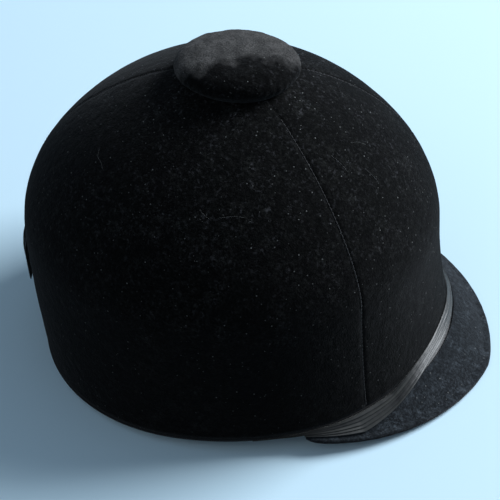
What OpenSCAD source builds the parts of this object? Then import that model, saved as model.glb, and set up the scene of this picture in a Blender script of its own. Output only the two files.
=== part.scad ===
// Riding helmet: a velvet hunt cap with a hard shell, foam liner, peak, button, pleated
// ribbon band and a four-point harness that folds away inside the crown.
// +X is forward, +Y is the wearer's left, +Z is up, and z = 0 is the plane it rests on.

/* [Crown] */
// Length of the velvet crown at its widest ring
crown_l = 240; // [232:1:250]
// Width of the velvet crown at its widest ring
crown_w = 226; // [218:1:236]
// Height of the crown above the resting plane
crown_h = 186; // [182:1:194]
// Height of the widest ring
widest_z = 90; // [84:1:96]
// How far the top leans forward of the middle
crown_lean = 7; // [0:1:12]
// Roundness of the crown seen from the side, lower is more pointed
crown_round = 1.58; // [1.5:0.02:1.75]
// How far the brow flares out, taken at the resting plane
brow_flare = 12; // [6:1:14]
// How far the nape tucks in, taken at the resting plane
nape_tuck = 7; // [3:1:10]
// Rise of the rim from the nape to the temples and brow
rim_rise = 16.5; // [12:0.5:20]
// Extra rise of the rim over the middle of the brow
brow_arch = 5; // [2:0.5:7]
// Plan angle from straight ahead to each front seam
seam_angle = 36; // [30:1:42]

/* [Layers] */
// Thickness of the velvet with its backing
velvet_t = 1.2; // [0.8:0.1:1.8]
// Thickness of the hard shell
shell_t = 3.2; // [2.6:0.1:4]
// Thickness of the glue line between layers
glue_t = 0.25; // [0.2:0.05:0.4]
// Thickness of the tape that binds the rim
binding_t = 2.2; // [1.6:0.1:3]
// Thickness of the quilted lining
lining_t = 3; // [2:0.5:4]
// Thickness of the foam behind the sweatband
band_foam_t = 3; // [2:0.5:4]
// Thickness of the sweatband leather
sweatband_t = 1.2; // [0.8:0.1:1.6]
// Height of the sweatband
sweatband_h = 34; // [26:1:42]

/* [Fitting] */
// Length of the head that the sweatband fits
head_l = 195; // [190:1:199]
// Width of the head that the sweatband fits
head_w = 154; // [150:1:160]
// Depth of the foam between the shell and the top of the hollow
top_foam_t = 18; // [16:1:22]
// Height of the liner's lower edge above the rim
liner_lift = 24; // [23:1:27]
// Height of the sweatband's lower edge above the rim
sweatband_lift = 14; // [13:1:18]
// Radius of the crown pad
crown_pad_r = 42; // [34:1:50]
// Thickness of the crown pad
crown_pad_t = 8; // [5:1:10]

/* [Button] */
// Radius of the button along the helmet
button_r = 35; // [30:0.5:38]
// Radius of the button across the helmet
button_side_r = 31.5; // [28:0.5:35]
// Height of the button's middle above the crown
button_rise = 8.5; // [5:0.5:9]
// Radius of the stud that holds the button
stud_r = 2.5; // [2:0.1:3]
// Radius of the washer under the stud
washer_r = 9; // [7:0.5:10]

/* [Peak] */
// Reach of the peak's plate beyond the brow
peak_reach = 23.5; // [18:0.5:28]
// Plan angle from straight ahead to each end of the peak
peak_angle = 54; // [50:1:56]
// Thickness of the peak's plate
peak_plate_t = 1.8; // [1.6:0.1:2]
// Thickness of the smooth cloth under the peak
peak_lining_t = 0.8; // [0.6:0.1:0.9]
// Radius of the rolled edge round the peak
peak_roll_r = 2.1; // [1.9:0.1:2.8]
// Height of the middle of the arch across the peak
peak_arch = 2.5; // [1:0.5:4]
// Height of the tab that holds the peak inside the shell
peak_tab_h = 12; // [10:1:13]
// Shank radius of the peak's rivets
peak_rivet_r = 1.6; // [1.4:0.1:1.8]

/* [Ribbon] */
// Number of folds in the pleated band
band_folds = 4; // [3:1:5]
// Thickness of the folded band
band_t = 1.3; // [1.1:0.1:1.8]
// Plan angle from straight ahead to each end of the band
band_angle = 68; // [60:1:70]
// Width of the bow's ribbon
bow_ribbon_w = 22; // [18:1:26]
// Reach of each bow loop from the middle of the back
bow_reach = 46; // [38:1:50]
// Height of the middle of the bow
bow_z = 54; // [52:1:60]
// Length of each tail of the bow
bow_tail_l = 46; // [38:1:46]
// Thickness of the ribbon
ribbon_t = 0.8; // [0.6:0.1:1]

/* [Harness] */
// Width of the side straps
strap_w = 15; // [12:1:16]
// Thickness of the webbing
strap_t = 1.6; // [1.2:0.1:1.8]
// Distance of each divider's bar from the middle plane when stowed
divider_y = 6.5; // [6:0.5:8]
// Gap between the shell and the far ends of the anchor brackets
anchor_gap = 1.5; // [1:0.1:2.5]
// Height of the anchor bars
anchor_z = 14; // [13:0.5:15]
// Distance of the front anchors ahead of the middle
front_anchor_x = 40; // [36:1:42]
// Distance of the rear anchors behind the middle
rear_anchor_x = 40; // [36:1:44]
// Radius of the anchor bars
bar_r = 1.5; // [1.3:0.1:1.8]
// Width of the chin strap
chin_strap_w = 18; // [15:1:18]
// Gap between the stowed buckle and the sweatband
stow_gap = 6; // [5:0.5:8]
// Length of the short strap from the other divider's bar to its end in the buckle
short_strap_l = 47; // [42:1:48]
// Distance from the divider's bar to the chin pad and to the adjuster
pad_start = 8; // [8:0.5:10]
// Thickness of the chin pad under the strap
chin_pad_t = 4; // [3:0.5:4.5]
// Length of the adjuster
adjuster_l = 10; // [8:1:12]
// Height above the resting plane at which the strap dividers are stowed
divider_z = 3.8; // [3.2:0.2:4.4]

/* [Buckle] */
// Width of the buckle
buckle_w = 26; // [24:1:28]
// Length of the buckle's socket
socket_l = 24; // [22:1:26]
// Height of the buckle's socket
socket_h = 8.8; // [8.4:0.2:9.6]
// Wall of the buckle's socket
socket_wall = 1.8; // [1.5:0.1:2]
// Length of the plug's prongs
prong_l = 17; // [15:1:19]

/* [Hidden] */

// Grid of the crown layers
ring_step = 6;
crown_steps = 7;
wall_steps = 3;
// Plan cosine behind which the rim lies flat on the resting plane
flat_cos = 0.8;
rim_power = 1.25;
arch_start = 0.7;
arch_power = 1.5;
seam_gap = 0.3;
seam_half = asin(seam_gap / 2 / (crown_w / 2));
// Depth of each face below the velvet's outer face
shell_out = velvet_t + glue_t;
shell_in = shell_out + shell_t;
liner_out = shell_in + glue_t;
rim_edge_z = binding_t + glue_t;
// How far the binding stays inside the shell's inner face
binding_inset = 0.1;
// Hollow of the liner
band_gap = 0.3;
hollow_gap = 2 * band_gap + band_foam_t + sweatband_t;
hollow_l = head_l + 2 * hollow_gap;
hollow_w = head_w + 2 * hollow_gap;
hollow_h = crown_h - liner_out - top_foam_t;
hollow_z = widest_z - 10;
hollow_x = 2;
hollow_round = 1.85;
// Radius of the hole that each layer leaves at the top
velvet_hole_r = 8;
shell_hole_r = stud_r + 0.8;
liner_hole_r = washer_r + 2.5;
shared_r = washer_r + 6;
// Peak
peak_gap = 0.3;
// Plan angle at which the peak would run out into the wall
peak_fade = peak_angle + 2;
peak_power = 1.2;
peak_end_rise = 10;
peak_edge_angle = 60;
sheet_gap = 0.3;
// Share by which the rolled edge thins towards its ends
roll_taper = 0.25;
roll_gap = 0.25;
// Height of the middle of the plate's edge
peak_edge_z = max(peak_roll_r, peak_plate_t / 2 + sheet_gap + peak_lining_t);
peak_steps = 24;
// Share of the way down the peak at which its cloth starts, and how far the velvet runs under the band
sheet_start = 0.12;
sheet_under = 0.08;
tab_gap = 0.35;
tab_t = 1.4;
tab_fade = 56;
tab_least = 0.6;
peak_rivet_z = rim_edge_z + 3.6;
peak_rivet_angles = [-40, -20, 0, 20, 40];
// Ribbon band
band_gap_out = 0.35;
// Height of the band's top above the rim: at its sides, and how much more at the middle of the brow
band_above_rim = 1.4;
band_rise = 7;
band_rise_angle = 28;
// Distance of the band's foot from the wall at the middle of the brow, and how much more at the sides
band_foot = 0.3;
band_foot_side = 7;
band_foot_share = 0.9;
// Plan angle at which the folds start to fan out over the peak on the right side and on the left, and
// how far on they reach their width
band_fan_start = 8;
band_fan_start_left = 30;
band_fan = 32;
// Height of the foot above the rim beyond the peak, and the plan angle over which it settles on the wall
band_foot_low = 0.5;
band_settle = 8;
// Plan angle from which the band narrows, and the share of its width left at its ends
band_narrow_angle = 40;
band_end_share = 0.45;
fold_depth = 0.5;
// Share of each fold that lies over the next, and how far the middle of the band stands off
fold_overlap = 0.7;
band_bulge = 0.3;
// Harness
fit_gap = 0.3;
slot_gap = 0.05;
adjuster_t = 4;
// Thickness of the chin pad's sleeve over the strap
pad_over = 0.8;
run_gap = 0.1;
loop_wall = 1.5;
loop_r = bar_r + run_gap + loop_wall;
ear_t = 2;
ear_gap = 0.4;
bar_l = strap_w + 2 * (ear_t + ear_gap);
bracket_t = 1.5;
bracket_h = 13;
bracket_l = bar_l + 2;
// Gap between the strap loops and the bracket behind them
loop_gap = 0.4;
anchor_rivet_z = anchor_z + 6.4;
// The brackets stand clear of the narrowest place of the shell beside them
bracket_y = min(side_y(front_anchor_x + bracket_l / 2, shell_in),
    side_y(-rear_anchor_x - bracket_l / 2, shell_in)) - anchor_gap - bracket_t;
anchor_y = bracket_y - loop_gap - loop_r;
// Distance from the anchor bars to the divider's bar, and the angle it hangs below level when stowed
side_drop = norm([anchor_y - divider_y, anchor_z - divider_z]);
sag = atan2(anchor_z - divider_z, anchor_y - divider_y);
rivet_r = 2;
rivet_head_r = 4;
rivet_head_t = 1.2;
// Gap that a rivet's head leaves over the curved piece it holds
head_gap = 0.8;
// Overlap of a rivet's head and shank
head_join = 0.1;
// How far the flat ends of the rivets stay below the outer face of the shell
rivet_short = 0.9;
boss_r = 4.2;
strap_spread = strap_w / 2 + fit_gap / 2;
divider_wall = 1.5;
divider_w = 2 * (strap_w + 2 * fit_gap + divider_wall);
divider_l = 17;
divider_t = 5;
// Distance from the divider's body to its bar, and from the ends of the side straps to the bar
divider_neck = 5;
strap_end = 8;
// Straight length of each side strap next to its anchor and before its divider
strap_root = 5;
strap_lead = divider_neck + divider_l + 2;
divider_bar_l = chin_strap_w + 2 * ear_gap;
nape_angle = 60;
nape_rivet_angles = [126, 156, 204, 234];
nape_rivet_z = rim_edge_z + 3 + strap_w / 2;
anchors = [[front_anchor_x, 1], [-rear_anchor_x, 1], [front_anchor_x, -1], [-rear_anchor_x, -1]];
// Height of each folded strap over its side straps
chin_h = divider_t / 2 + fit_gap + chin_pad_t + strap_t / 2;
short_h = divider_t / 2 + fit_gap + adjuster_t / 2;
// Length of the chin strap from the divider's bar to its end in the buckle, stowed short of the
// sweatband, and the pad that fills it up to the buckle
strap_grip = 4;
chin_strap_l = hollow_w / 2 - hollow_gap - stow_gap - divider_y - socket_l + strap_grip;
chin_pad_l = chin_strap_l - strap_grip - pad_start - 2 * fit_gap;

black_velvet = [0.045, 0.045, 0.05];
ribbon_black = [0.13, 0.13, 0.14];

// Height of the rim at a plan cosine
function rim_z(c) = rim_rise * pow(max(0, (c + flat_cos) / (1 + flat_cos)), rim_power)
    + brow_arch * pow(max(0, (c - arch_start) / (1 - arch_start)), arch_power);

// Share by which the wall below the widest ring spreads at a plan cosine and a height
function wall_spread(c, z) = 1 + (c > 0 ? brow_flare : -nape_tuck) / (crown_l / 2)
    * c * c * pow(max(0, (widest_z - z) / widest_z), 2);

// Point on the wall below the widest ring, a distance out of the velvet
function wall_at(a, z, out) = let (f = wall_spread(cos(a), z))
    [(crown_l / 2 + out) * cos(a) * f, (crown_w / 2 + out) * sin(a) * f, z];

// Point of a crown layer: a plan angle, b from 0 at the top over 1 at the widest ring to 2 at the rim
function crown_at(a, b, in, lift) =
    b <= 1 ?
        let (r = pow(sin(b * 90), 2 / crown_round))
        [(crown_l / 2 - in) * cos(a) * r + crown_lean * (1 - r), (crown_w / 2 - in) * sin(a) * r,
            widest_z + (crown_h - in - widest_z) * pow(cos(b * 90), 2 / crown_round)]
    : wall_at(a, widest_z + (rim_z(cos(a)) + lift - widest_z) * (b - 1), -in);

// Point of the liner's hollow, a distance in from its face
function hollow_at(a, b, in, lift) =
    let (s = sin(min(b, 1) * 90), r = pow(s, 2 / hollow_round))
    [(hollow_l / 2 - in) * cos(a) * r + hollow_x, (hollow_w / 2 - in) * sin(a) * r,
        b <= 1 ? hollow_z + (hollow_h - in - hollow_z) * pow(cos(b * 90), 2 / hollow_round)
            : hollow_z + (rim_z(cos(a)) + lift - hollow_z) * (b - 1)];

// Grid value of the top ring that leaves a hole of a radius
function hole_b(r, half, power) = asin(pow(r / half, power / 2)) / 90;

// Depth of the crown below its top at a radius
function crown_drop(r) = (crown_h - widest_z)
    * (1 - pow(1 - pow(r / (crown_w / 2), crown_round), 1 / crown_round));

function rows(first, last, n) = [for (i = [0:n]) first + (last - first) * i / n];
// Rows of a crown layer: its own top ring, then rings that all the layers share
function layer_rows(top) = concat([top], rows(hole_b(shared_r, crown_l / 2, crown_round), 1, crown_steps - 1),
    [for (i = [1:wall_steps]) 1 + i / wall_steps]);

// Unit vector straight out of the wall in plan
function outward(a) = let (x = cos(a) / crown_l, y = sin(a) / crown_w, n = norm([x, y])) [x / n, y / n, 0];

// Closed layer between two faces, given as functions of a plan angle and a row value.
// A ring goes all the way round, and a capped one is closed at its first row.
module layer(outer, inner, angles, bs, ring = false, capped = false) {
    m = len(angles);
    n = len(bs);
    size = m * n;
    points = concat(
        [for (a = angles) for (b = bs) outer(a, b)],
        [for (a = angles) for (b = bs) inner(a, b)],
        capped ? [outer(0, 0), inner(0, 0)] : []);
    top = 2 * size;
    faces = [
        for (i = [0:(ring ? m - 1 : m - 2)]) let (k = (i + 1) % m)
            each concat(
                [for (j = [0:n - 2]) let (p = i * n + j, q = k * n + j)
                    each [[p, q, q + 1], [p, q + 1, p + 1],
                        [size + p, size + q + 1, size + q], [size + p, size + p + 1, size + q + 1]]],
                let (p = i * n, q = k * n)
                    capped ? [[top, q, p], [top + 1, size + p, size + q]]
                    : [[q, p, size + p], [q, size + p, size + q]],
                let (p = i * n + n - 1, q = k * n + n - 1) [[p, q, size + q], [p, size + q, size + p]]),
        if (!ring) for (j = [0:n - 2])
            each [[j, j + 1, size + j + 1], [j, size + j + 1, size + j]],
        if (!ring) for (j = [0:n - 2]) let (p = (m - 1) * n + j)
            each [[p + 1, p, size + p], [p + 1, size + p, size + p + 1]]];
    polyhedron(points = points, faces = faces, convexity = 6);
}

// Solid swept through a list of closed sections with equal counts of points
module swept(sections) {
    n = len(sections[0]);
    last = (len(sections) - 1) * n;
    polyhedron(points = [for (s = sections) each s], convexity = 6,
        faces = concat(
            [for (i = [0:len(sections) - 2]) for (j = [0:n - 1])
                let (p = i * n + j, q = i * n + (j + 1) % n)
                each [[p, q, q + n], [p, q + n, p + n]]],
            [[for (j = [n - 1:-1:0]) j], [for (j = [0:n - 1]) last + j]]));
}

all_round = [for (a = [0:ring_step:359]) a - 180];

module crown_layer(out, in, lift, hole, angles = all_round, ring = true) {
    top = hole_b(hole, crown_l / 2, crown_round);
    layer(function (a, b) crown_at(a, b, out, lift), function (a, b) crown_at(a, b, in, lift),
        angles, layer_rows(top), ring);
}

// Rivet or hole square through the wall at a plan angle, between two distances out of the velvet
module through_wall(a, r, from, to, rise) {
    z = rim_z(cos(a)) + rise;
    out = outward(a);
    lean = atan2((wall_at(a, z - 1, 0) - wall_at(a, z + 1, 0)) * out, 2);
    translate(wall_at(a, z, 0) + from * (cos(lean) * out + [0, 0, sin(lean)]))
        rotate([0, 90 - lean, atan2(out[1], out[0])]) cylinder(r = r, h = to - from, $fn = 32);
}

// Distance of the wall from the middle plane at a place along the helmet
function side_y(x, in) = wall_at(acos(x / (crown_l / 2 - in)), anchor_rivet_z, -in)[1];

module anchor_hole(x, side, r, from, to) {
    translate([x, side * from, anchor_rivet_z]) rotate([side * -90, 0, 0])
        cylinder(r = r, h = to - from, $fn = 32);
}

// Crown
module hard_shell() color([0.16, 0.16, 0.17]) difference() {
    crown_layer(shell_out, shell_in, rim_edge_z, shell_hole_r);
    for (a = peak_rivet_angles)
        through_wall(a, peak_rivet_r + run_gap, -shell_in - 3, 2, peak_rivet_z);
    for (a = nape_rivet_angles)
        through_wall(a, rivet_r + run_gap, -shell_in - 3, 2, nape_rivet_z);
    for (k = anchors)
        anchor_hole(k[0], k[1], rivet_r + run_gap, side_y(k[0], shell_in) - 6, side_y(k[0], 0) + 2);
}

module foam_liner() color([0.9, 0.9, 0.88]) {
    b0 = hole_b(liner_hole_r, crown_l / 2, crown_round);
    rows = layer_rows(b0);
    layer(function (a, b) crown_at(a, b, liner_out, liner_lift),
        function (a, b) hollow_at(a, max(b, b0), 0, liner_lift), all_round, rows, true);
}

module velvet_panel(from, to) color(black_velvet)
    crown_layer(0, velvet_t, rim_edge_z, velvet_hole_r, ring = false,
        angles = concat([from + seam_half], [for (a = [from + ring_step:ring_step:to - 1]) a],
            [to - seam_half]));

module velvet_front() velvet_panel(-seam_angle, seam_angle);
module velvet_left() velvet_panel(seam_angle, 180);
module velvet_right() velvet_panel(-180, -seam_angle);

module rim_binding() color([0.07, 0.07, 0.08])
    layer(function (a, b) wall_at(a, rim_z(cos(a)) + binding_t * (1 - b), -band_gap),
        function (a, b) wall_at(a, rim_z(cos(a)) + binding_t * (1 - b), -shell_in + binding_inset),
        all_round, [0, 1], true);

// Linings
lining_lift = sweatband_lift + sweatband_h + 2;
lining_gap = 0.7;
lining_rows = [0.1, 0.22, 0.36, 0.52, 0.68, 0.84, 1, 1.4, 2];
// How much thinner the crown pad is at its edge
crown_pad_fall = 0.7;
module quilted_lining() color([0.09, 0.09, 0.1])
    layer(function (a, b) hollow_at(a, b, lining_gap, lining_lift),
        function (a, b) hollow_at(a, b, lining_gap + lining_t, lining_lift),
        [for (a = [0:9:359]) a], lining_rows, true, true);

module crown_pad() color([0.12, 0.12, 0.13]) {
    in = 2 * lining_gap + lining_t;
    last = hole_b(crown_pad_r, hollow_w / 2, hollow_round);
    layer(function (a, b) hollow_at(a, b * last, in, 0),
        function (a, b) hollow_at(a, b * last, in + crown_pad_t * sqrt(1 - b * b * crown_pad_fall), 0),
        [for (a = [0:15:359]) a], [0.35, 0.7, 1], true, true);
}

module hollow_band(from_in, to_in, from_lift, to_lift)
    layer(
        function (a, b) let (p = hollow_at(a, 1, from_in, 0), z = rim_z(cos(a)) + to_lift)
            [p[0], p[1], z + (from_lift - to_lift) * b],
        function (a, b) let (p = hollow_at(a, 1, to_in, 0), z = rim_z(cos(a)) + to_lift)
            [p[0], p[1], z + (from_lift - to_lift) * b],
        [for (a = [0:7.5:359]) a], [0, 1], true);

module sweatband_foam() color([0.2, 0.2, 0.21])
    hollow_band(band_gap, band_gap + band_foam_t, liner_lift, sweatband_lift + sweatband_h - 2);

module sweatband() color([0.1, 0.08, 0.07])
    hollow_band(2 * band_gap + band_foam_t, hollow_gap, sweatband_lift, sweatband_lift + sweatband_h);

// Button: a domed cushion whose lower edge is tucked in where it sits on the crown
button_skin = 1.2;
button_side_h = 2.5;
button_lip = 0.8;
button_tuck = 6;
button_power = 0.7;
// The button leans a little: its tilt, the plan angle of its raised side, and its lift
button_tilt = 4.3;
button_tilt_turn = -70;
button_lift = 2.3;
dome_steps = 8;
button_rows = dome_steps + 2;
button_angles = [for (a = [0:10:359]) a];
core_inset = button_skin + fit_gap;
// Radius of the core's underside along the helmet
core_foot_r = button_r - button_tuck - core_inset - 0.5;

// Height of the velvet's outer face above a point in plan
function crown_z(x, y) =
    let (a = crown_l / 2, forward = x - crown_lean, p = forward * crown_lean / (a * a),
        q = 1 - pow(crown_lean / a, 2),
        r = (p + sqrt(p * p + q * (pow(forward / a, 2) + pow(2 * y / crown_w, 2)))) / q)
    widest_z + (crown_h - widest_z) * pow(1 - pow(r, crown_round), 1 / crown_round);

// Point a fitting gap above the velvet, at a plan angle and a radius along the helmet
function seat_at(a, r, inset) =
    let (x = crown_lean + r * cos(a), y = r * (button_side_r - inset) / (button_r - inset) * sin(a))
    [x, y, crown_z(x, y) + fit_gap];

// A point of the level button, leant over about the middle of its lower edge
function leant(p) =
    let (base = crown_h - 2 * button_side_h, x = p[0] - crown_lean,
        along = x * cos(button_tilt_turn) + p[1] * sin(button_tilt_turn),
        cross = p[1] * cos(button_tilt_turn) - x * sin(button_tilt_turn),
        moved = along * cos(button_tilt) - (p[2] - base) * sin(button_tilt))
    [crown_lean + moved * cos(button_tilt_turn) - cross * sin(button_tilt_turn),
        moved * sin(button_tilt_turn) + cross * cos(button_tilt_turn),
        base + button_lift + along * sin(button_tilt) + (p[2] - base) * cos(button_tilt)];

// Point of the button: a plan angle, a row counted from the middle of its top over its edge to its
// foot, and an inset from its outer face
function button_at(a, row, inset) =
    row == button_rows ? seat_at(a, button_r - button_tuck - inset, inset)
    : let (t = 90 * max(0, 1 - row / dome_steps), lip = row > dome_steps,
        r = lip ? button_r - button_lip - inset : (button_r - inset) * pow(max(0, cos(t)), button_power))
    leant([crown_lean + r * cos(a), r * (button_side_r - inset) / (button_r - inset) * sin(a),
        lip ? crown_h - 2 * button_side_h + inset / 2
            : crown_h - button_side_h + (button_side_h + button_rise - inset) * sin(t)]);

module button_cover() color([0.09, 0.09, 0.1])
    layer(function (a, b) button_at(a, b, 0), function (a, b) button_at(a, b, button_skin),
        button_angles, [for (i = [1:button_rows]) i], true, true);

module button_core() color([0.55, 0.42, 0.28]) difference() {
    layer(function (a, b) button_at(a, b, core_inset),
        function (a, b) seat_at(a, core_foot_r * b / button_rows, core_inset),
        button_angles, [for (i = [1:button_rows]) i], true, true);
    translate([crown_lean, 0, crown_h - 1])
        cylinder(r = stud_r + run_gap, h = stud_rise + 1 + run_gap, $fn = 32);
}

// Stud of the button, up into its core
stud_rise = button_rise * 0.4;
stud_below = 4;
stud_head_t = 2;
washer_t = 1.2;
washer_gap = 0.6;
washer_top = crown_h - shell_in - crown_drop(washer_r) - washer_gap;
stud_foot = washer_top - stud_below;
module button_stud() color("silver") translate([crown_lean, 0, 0]) {
    translate([0, 0, stud_foot]) cylinder(r = stud_r, h = crown_h + stud_rise - stud_foot, $fn = 32);
    translate([0, 0, stud_foot]) cylinder(r = stud_r + 2, h = stud_head_t, $fn = 32);
}

module button_washer() color("silver")
    translate([crown_lean, 0, washer_top - washer_t]) difference() {
        cylinder(r = washer_r, h = washer_t, $fn = 48);
        translate([0, 0, -1]) cylinder(r = stud_r + run_gap, h = washer_t + 2, $fn = 32);
    }

// Peak
function peak_out(a) = peak_reach * (1 - pow(abs(a) / peak_fade, peak_power));
function peak_top(a) = rim_z(cos(a)) - peak_gap - 0.05;
function roll_r(a) = peak_roll_r * (1 - roll_taper * pow(a / peak_angle, 2));
function peak_edge(a) = peak_edge_z + roll_r(a) - peak_roll_r + peak_end_rise * pow(a / peak_edge_angle, 2);
function peak_tip(a) = peak_edge(a) + peak_plate_t / 2;
function peak_z(a, v) = peak_top(a) + (peak_tip(a) - peak_top(a)) * v
    + peak_arch * peak_out(a) / peak_reach * 4 * v * (1 - v);
// Point of the peak: v from 0 at the wall to 1 at the edge, h above the top of the plate
function peak_at(a, v, h) =
    let (fall = max(0, peak_top(a) - peak_tip(a)), n = norm([fall, peak_out(a)]), up = h / n,
        foot = wall_at(a, rim_z(cos(a)), peak_gap))
    foot + (peak_out(a) * v + fall * up) * outward(a) + [0, 0, peak_z(a, v) - foot[2] + peak_out(a) * up];
peak_vs = [0, 0.35, 0.7, 1];
sheet_shares = [0, 0.26, 0.66, 1];
peak_angles = [for (i = [0:peak_steps]) peak_angle * (2 * i / peak_steps - 1)];

function tab_h(a) = max(tab_least, peak_tab_h * (1 - pow(a / tab_fade, 2)));
tab_in = shell_in + tab_gap;

module peak_plate() color([0.16, 0.16, 0.17]) difference() {
    swept([for (a = peak_angles)
        let (top = peak_top(a), low = top - peak_plate_t, tip = top + tab_h(a),
            under = wall_at(a, rim_z(cos(a)), -tab_in - tab_t))
        concat(
            [wall_at(a, tip, -tab_in - tab_t), [under[0], under[1], low]],
            [for (v = peak_vs) peak_at(a, v, -peak_plate_t)],
            [for (i = [3:-1:0]) peak_at(a, peak_vs[i], 0)],
            [let (p = wall_at(a, top, -tab_in)) [p[0], p[1], top], wall_at(a, tip, -tab_in)])]);
    for (a = peak_rivet_angles)
        through_wall(a, peak_rivet_r + run_gap, -tab_in - tab_t - 4, -shell_out, peak_rivet_z);
}

module peak_sheet(low, high, start) swept([for (a = peak_angles)
    let (vs = [for (share = sheet_shares) start(a) + (1 - start(a)) * share])
    concat([for (v = vs) peak_at(a, v, low)], [for (i = [3:-1:0]) peak_at(a, vs[i], high)])]);

module peak_velvet() color(black_velvet)
    peak_sheet(sheet_gap, sheet_gap + velvet_t, function (a) max(sheet_start, band_foot_v(a) - sheet_under));
module peak_lining() color([0.1, 0.1, 0.11])
    peak_sheet(-peak_plate_t - sheet_gap - peak_lining_t, -peak_plate_t - sheet_gap,
        function (a) sheet_start);

module peak_roll() color(black_velvet) swept([for (a = peak_angles)
    let (r = roll_r(a), mid = peak_at(a, 1, 0) + (r + roll_gap) * outward(a), z = peak_edge(a))
    [for (k = [0:7]) let (t = 22.5 + 45 * k)
        [mid[0], mid[1], z] + r / cos(22.5) * (cos(t) * outward(a) + [0, 0, sin(t)])]]);

module peak_rivets() color("silver") for (a = peak_rivet_angles) {
    head = -tab_in - tab_t - head_gap;
    through_wall(a, peak_rivet_r, head - head_join, -shell_out - sheet_gap, peak_rivet_z);
    through_wall(a, 2 * peak_rivet_r, head - rivet_head_t, head, peak_rivet_z);
}

// Ribbon
function band_share(a) = 1 - (1 - band_end_share)
    * max(0, (abs(a) - band_narrow_angle) / (band_angle - band_narrow_angle));
function band_top(a) = rim_z(cos(a)) + band_above_rim + band_rise * max(0, 1 - pow(a / band_rise_angle, 2));
function band_foot_v(a) =
    let (start = a > 0 ? band_fan_start_left : band_fan_start,
        fan = min(1, max(0, (abs(a) - start) / band_fan)))
    min(band_foot_share, (band_foot + band_foot_side * pow(sin(90 * fan), 2)) / peak_out(a));
function band_foot_at(a) = abs(a) > peak_angle
    ? wall_at(a, rim_z(cos(a)) + band_foot_low,
        band_gap_out + (sheet_gap + velvet_t) * max(0, 1 - (abs(a) - peak_angle) / band_settle))
    : peak_at(a, band_foot_v(a), sheet_gap + velvet_t + band_gap_out);

module ribbon_band() color(ribbon_black)
    swept([for (a = [-band_angle:4:band_angle])
        let (top = wall_at(a, band_top(a), band_gap_out),
            foot = band_foot_at(a),
            across = foot - top, out = outward(a),
            thick = band_t * band_share(a), deep = fold_depth * band_share(a))
        concat(
            [for (i = [0:band_folds]) let (t = i / band_folds)
                top + across * t + band_bulge * sin(180 * t) * out],
            [for (i = [band_folds:-1:0]) let (t = i / band_folds)
                each (i == band_folds ? [top + across * t + thick * out]
                    : [top + across * (t + fold_overlap / band_folds) + (thick + deep) * out,
                        top + across * t + (thick - deep) * out])])]);

// The bow lies against the back of the crown
bow_start = 3.5;
bow_depth = 3.2;
tail_out = sin(40);
tail_down = cos(40);
function back_at(y, z, out) = wall_at(180 - asin(y / (crown_w / 2)), z, out);

// Point of a bow loop: t round the loop, b across the ribbon, inset from its outer face
function loop_at(side, t, b, inset) =
    let (half = (bow_reach - bow_start) / 2 - inset, y = bow_start + inset + half * (1 + cos(t)),
        spread = bow_ribbon_w / 2 * (0.62 + 0.38 * pow(sin(90 * min(1, y / bow_reach)), 0.7)))
    wall_at(180 - side * asin(y / (crown_w / 2)), bow_z + side * b * spread,
        0.3 + inset + (bow_depth - 2 * inset) * (1 + sin(t)) / 2);

module bow_loops() color(ribbon_black) for (side = [-1, 1])
    layer(function (a, b) loop_at(side, a, b, 0), function (a, b) loop_at(side, a, b, ribbon_t),
        [for (a = [0:15:359]) a], [1, 0.5, 0, -0.5, -1], true);

module bow_knot() color(ribbon_black)
    translate(back_at(0, bow_z, 0.7 + bow_depth)) rotate([0, 90, 0]) linear_extrude(bow_depth)
        difference() {
            square([bow_ribbon_w * 0.62, 2 * bow_start - 0.6], center = true);
            for (e = [-1, 1]) translate([0, e * (bow_start + 8.6)]) circle(r = 9, $fn = 48);
        }

// Point of a tail: t down its length, b across it
function tail_at(side, t, b, out) =
    let (half = 3 + 6.5 * t, along = 6 + (bow_tail_l - 6) * t)
    back_at(side * (4 + along * tail_out - 4 + b * half * tail_down),
        bow_z - 6 - along * tail_down + b * half * tail_out, out);

module bow_tails() color(ribbon_black) for (side = [-1, 1])
    layer(function (a, b) tail_at(side, a, b * side, 0.3 + ribbon_t),
        function (a, b) tail_at(side, a, b * side, 0.3),
        rows(0, 1, 6), [-1, 0, 1]);

// Anchors
module nape_strap() color([0.1, 0.1, 0.11]) difference() {
    layer(function (a, b) wall_at(a, rim_edge_z + 3 + strap_w * (1 - b), -shell_in - 0.3),
        function (a, b) wall_at(a, rim_edge_z + 3 + strap_w * (1 - b), -shell_in - 0.3 - strap_t),
        [for (a = [180 - nape_angle:6:180 + nape_angle]) a], [0, 1]);
    for (a = nape_rivet_angles)
        through_wall(a, rivet_r + run_gap, -shell_in - strap_t - 3, -shell_in + 1, nape_rivet_z);
}

module nape_rivets() color("silver") for (a = nape_rivet_angles) {
    head = -shell_in - strap_t - head_gap;
    through_wall(a, rivet_r, head - head_join, -shell_out - rivet_short, nape_rivet_z);
    through_wall(a, rivet_head_r, head - rivet_head_t, head, nape_rivet_z);
}

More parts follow.
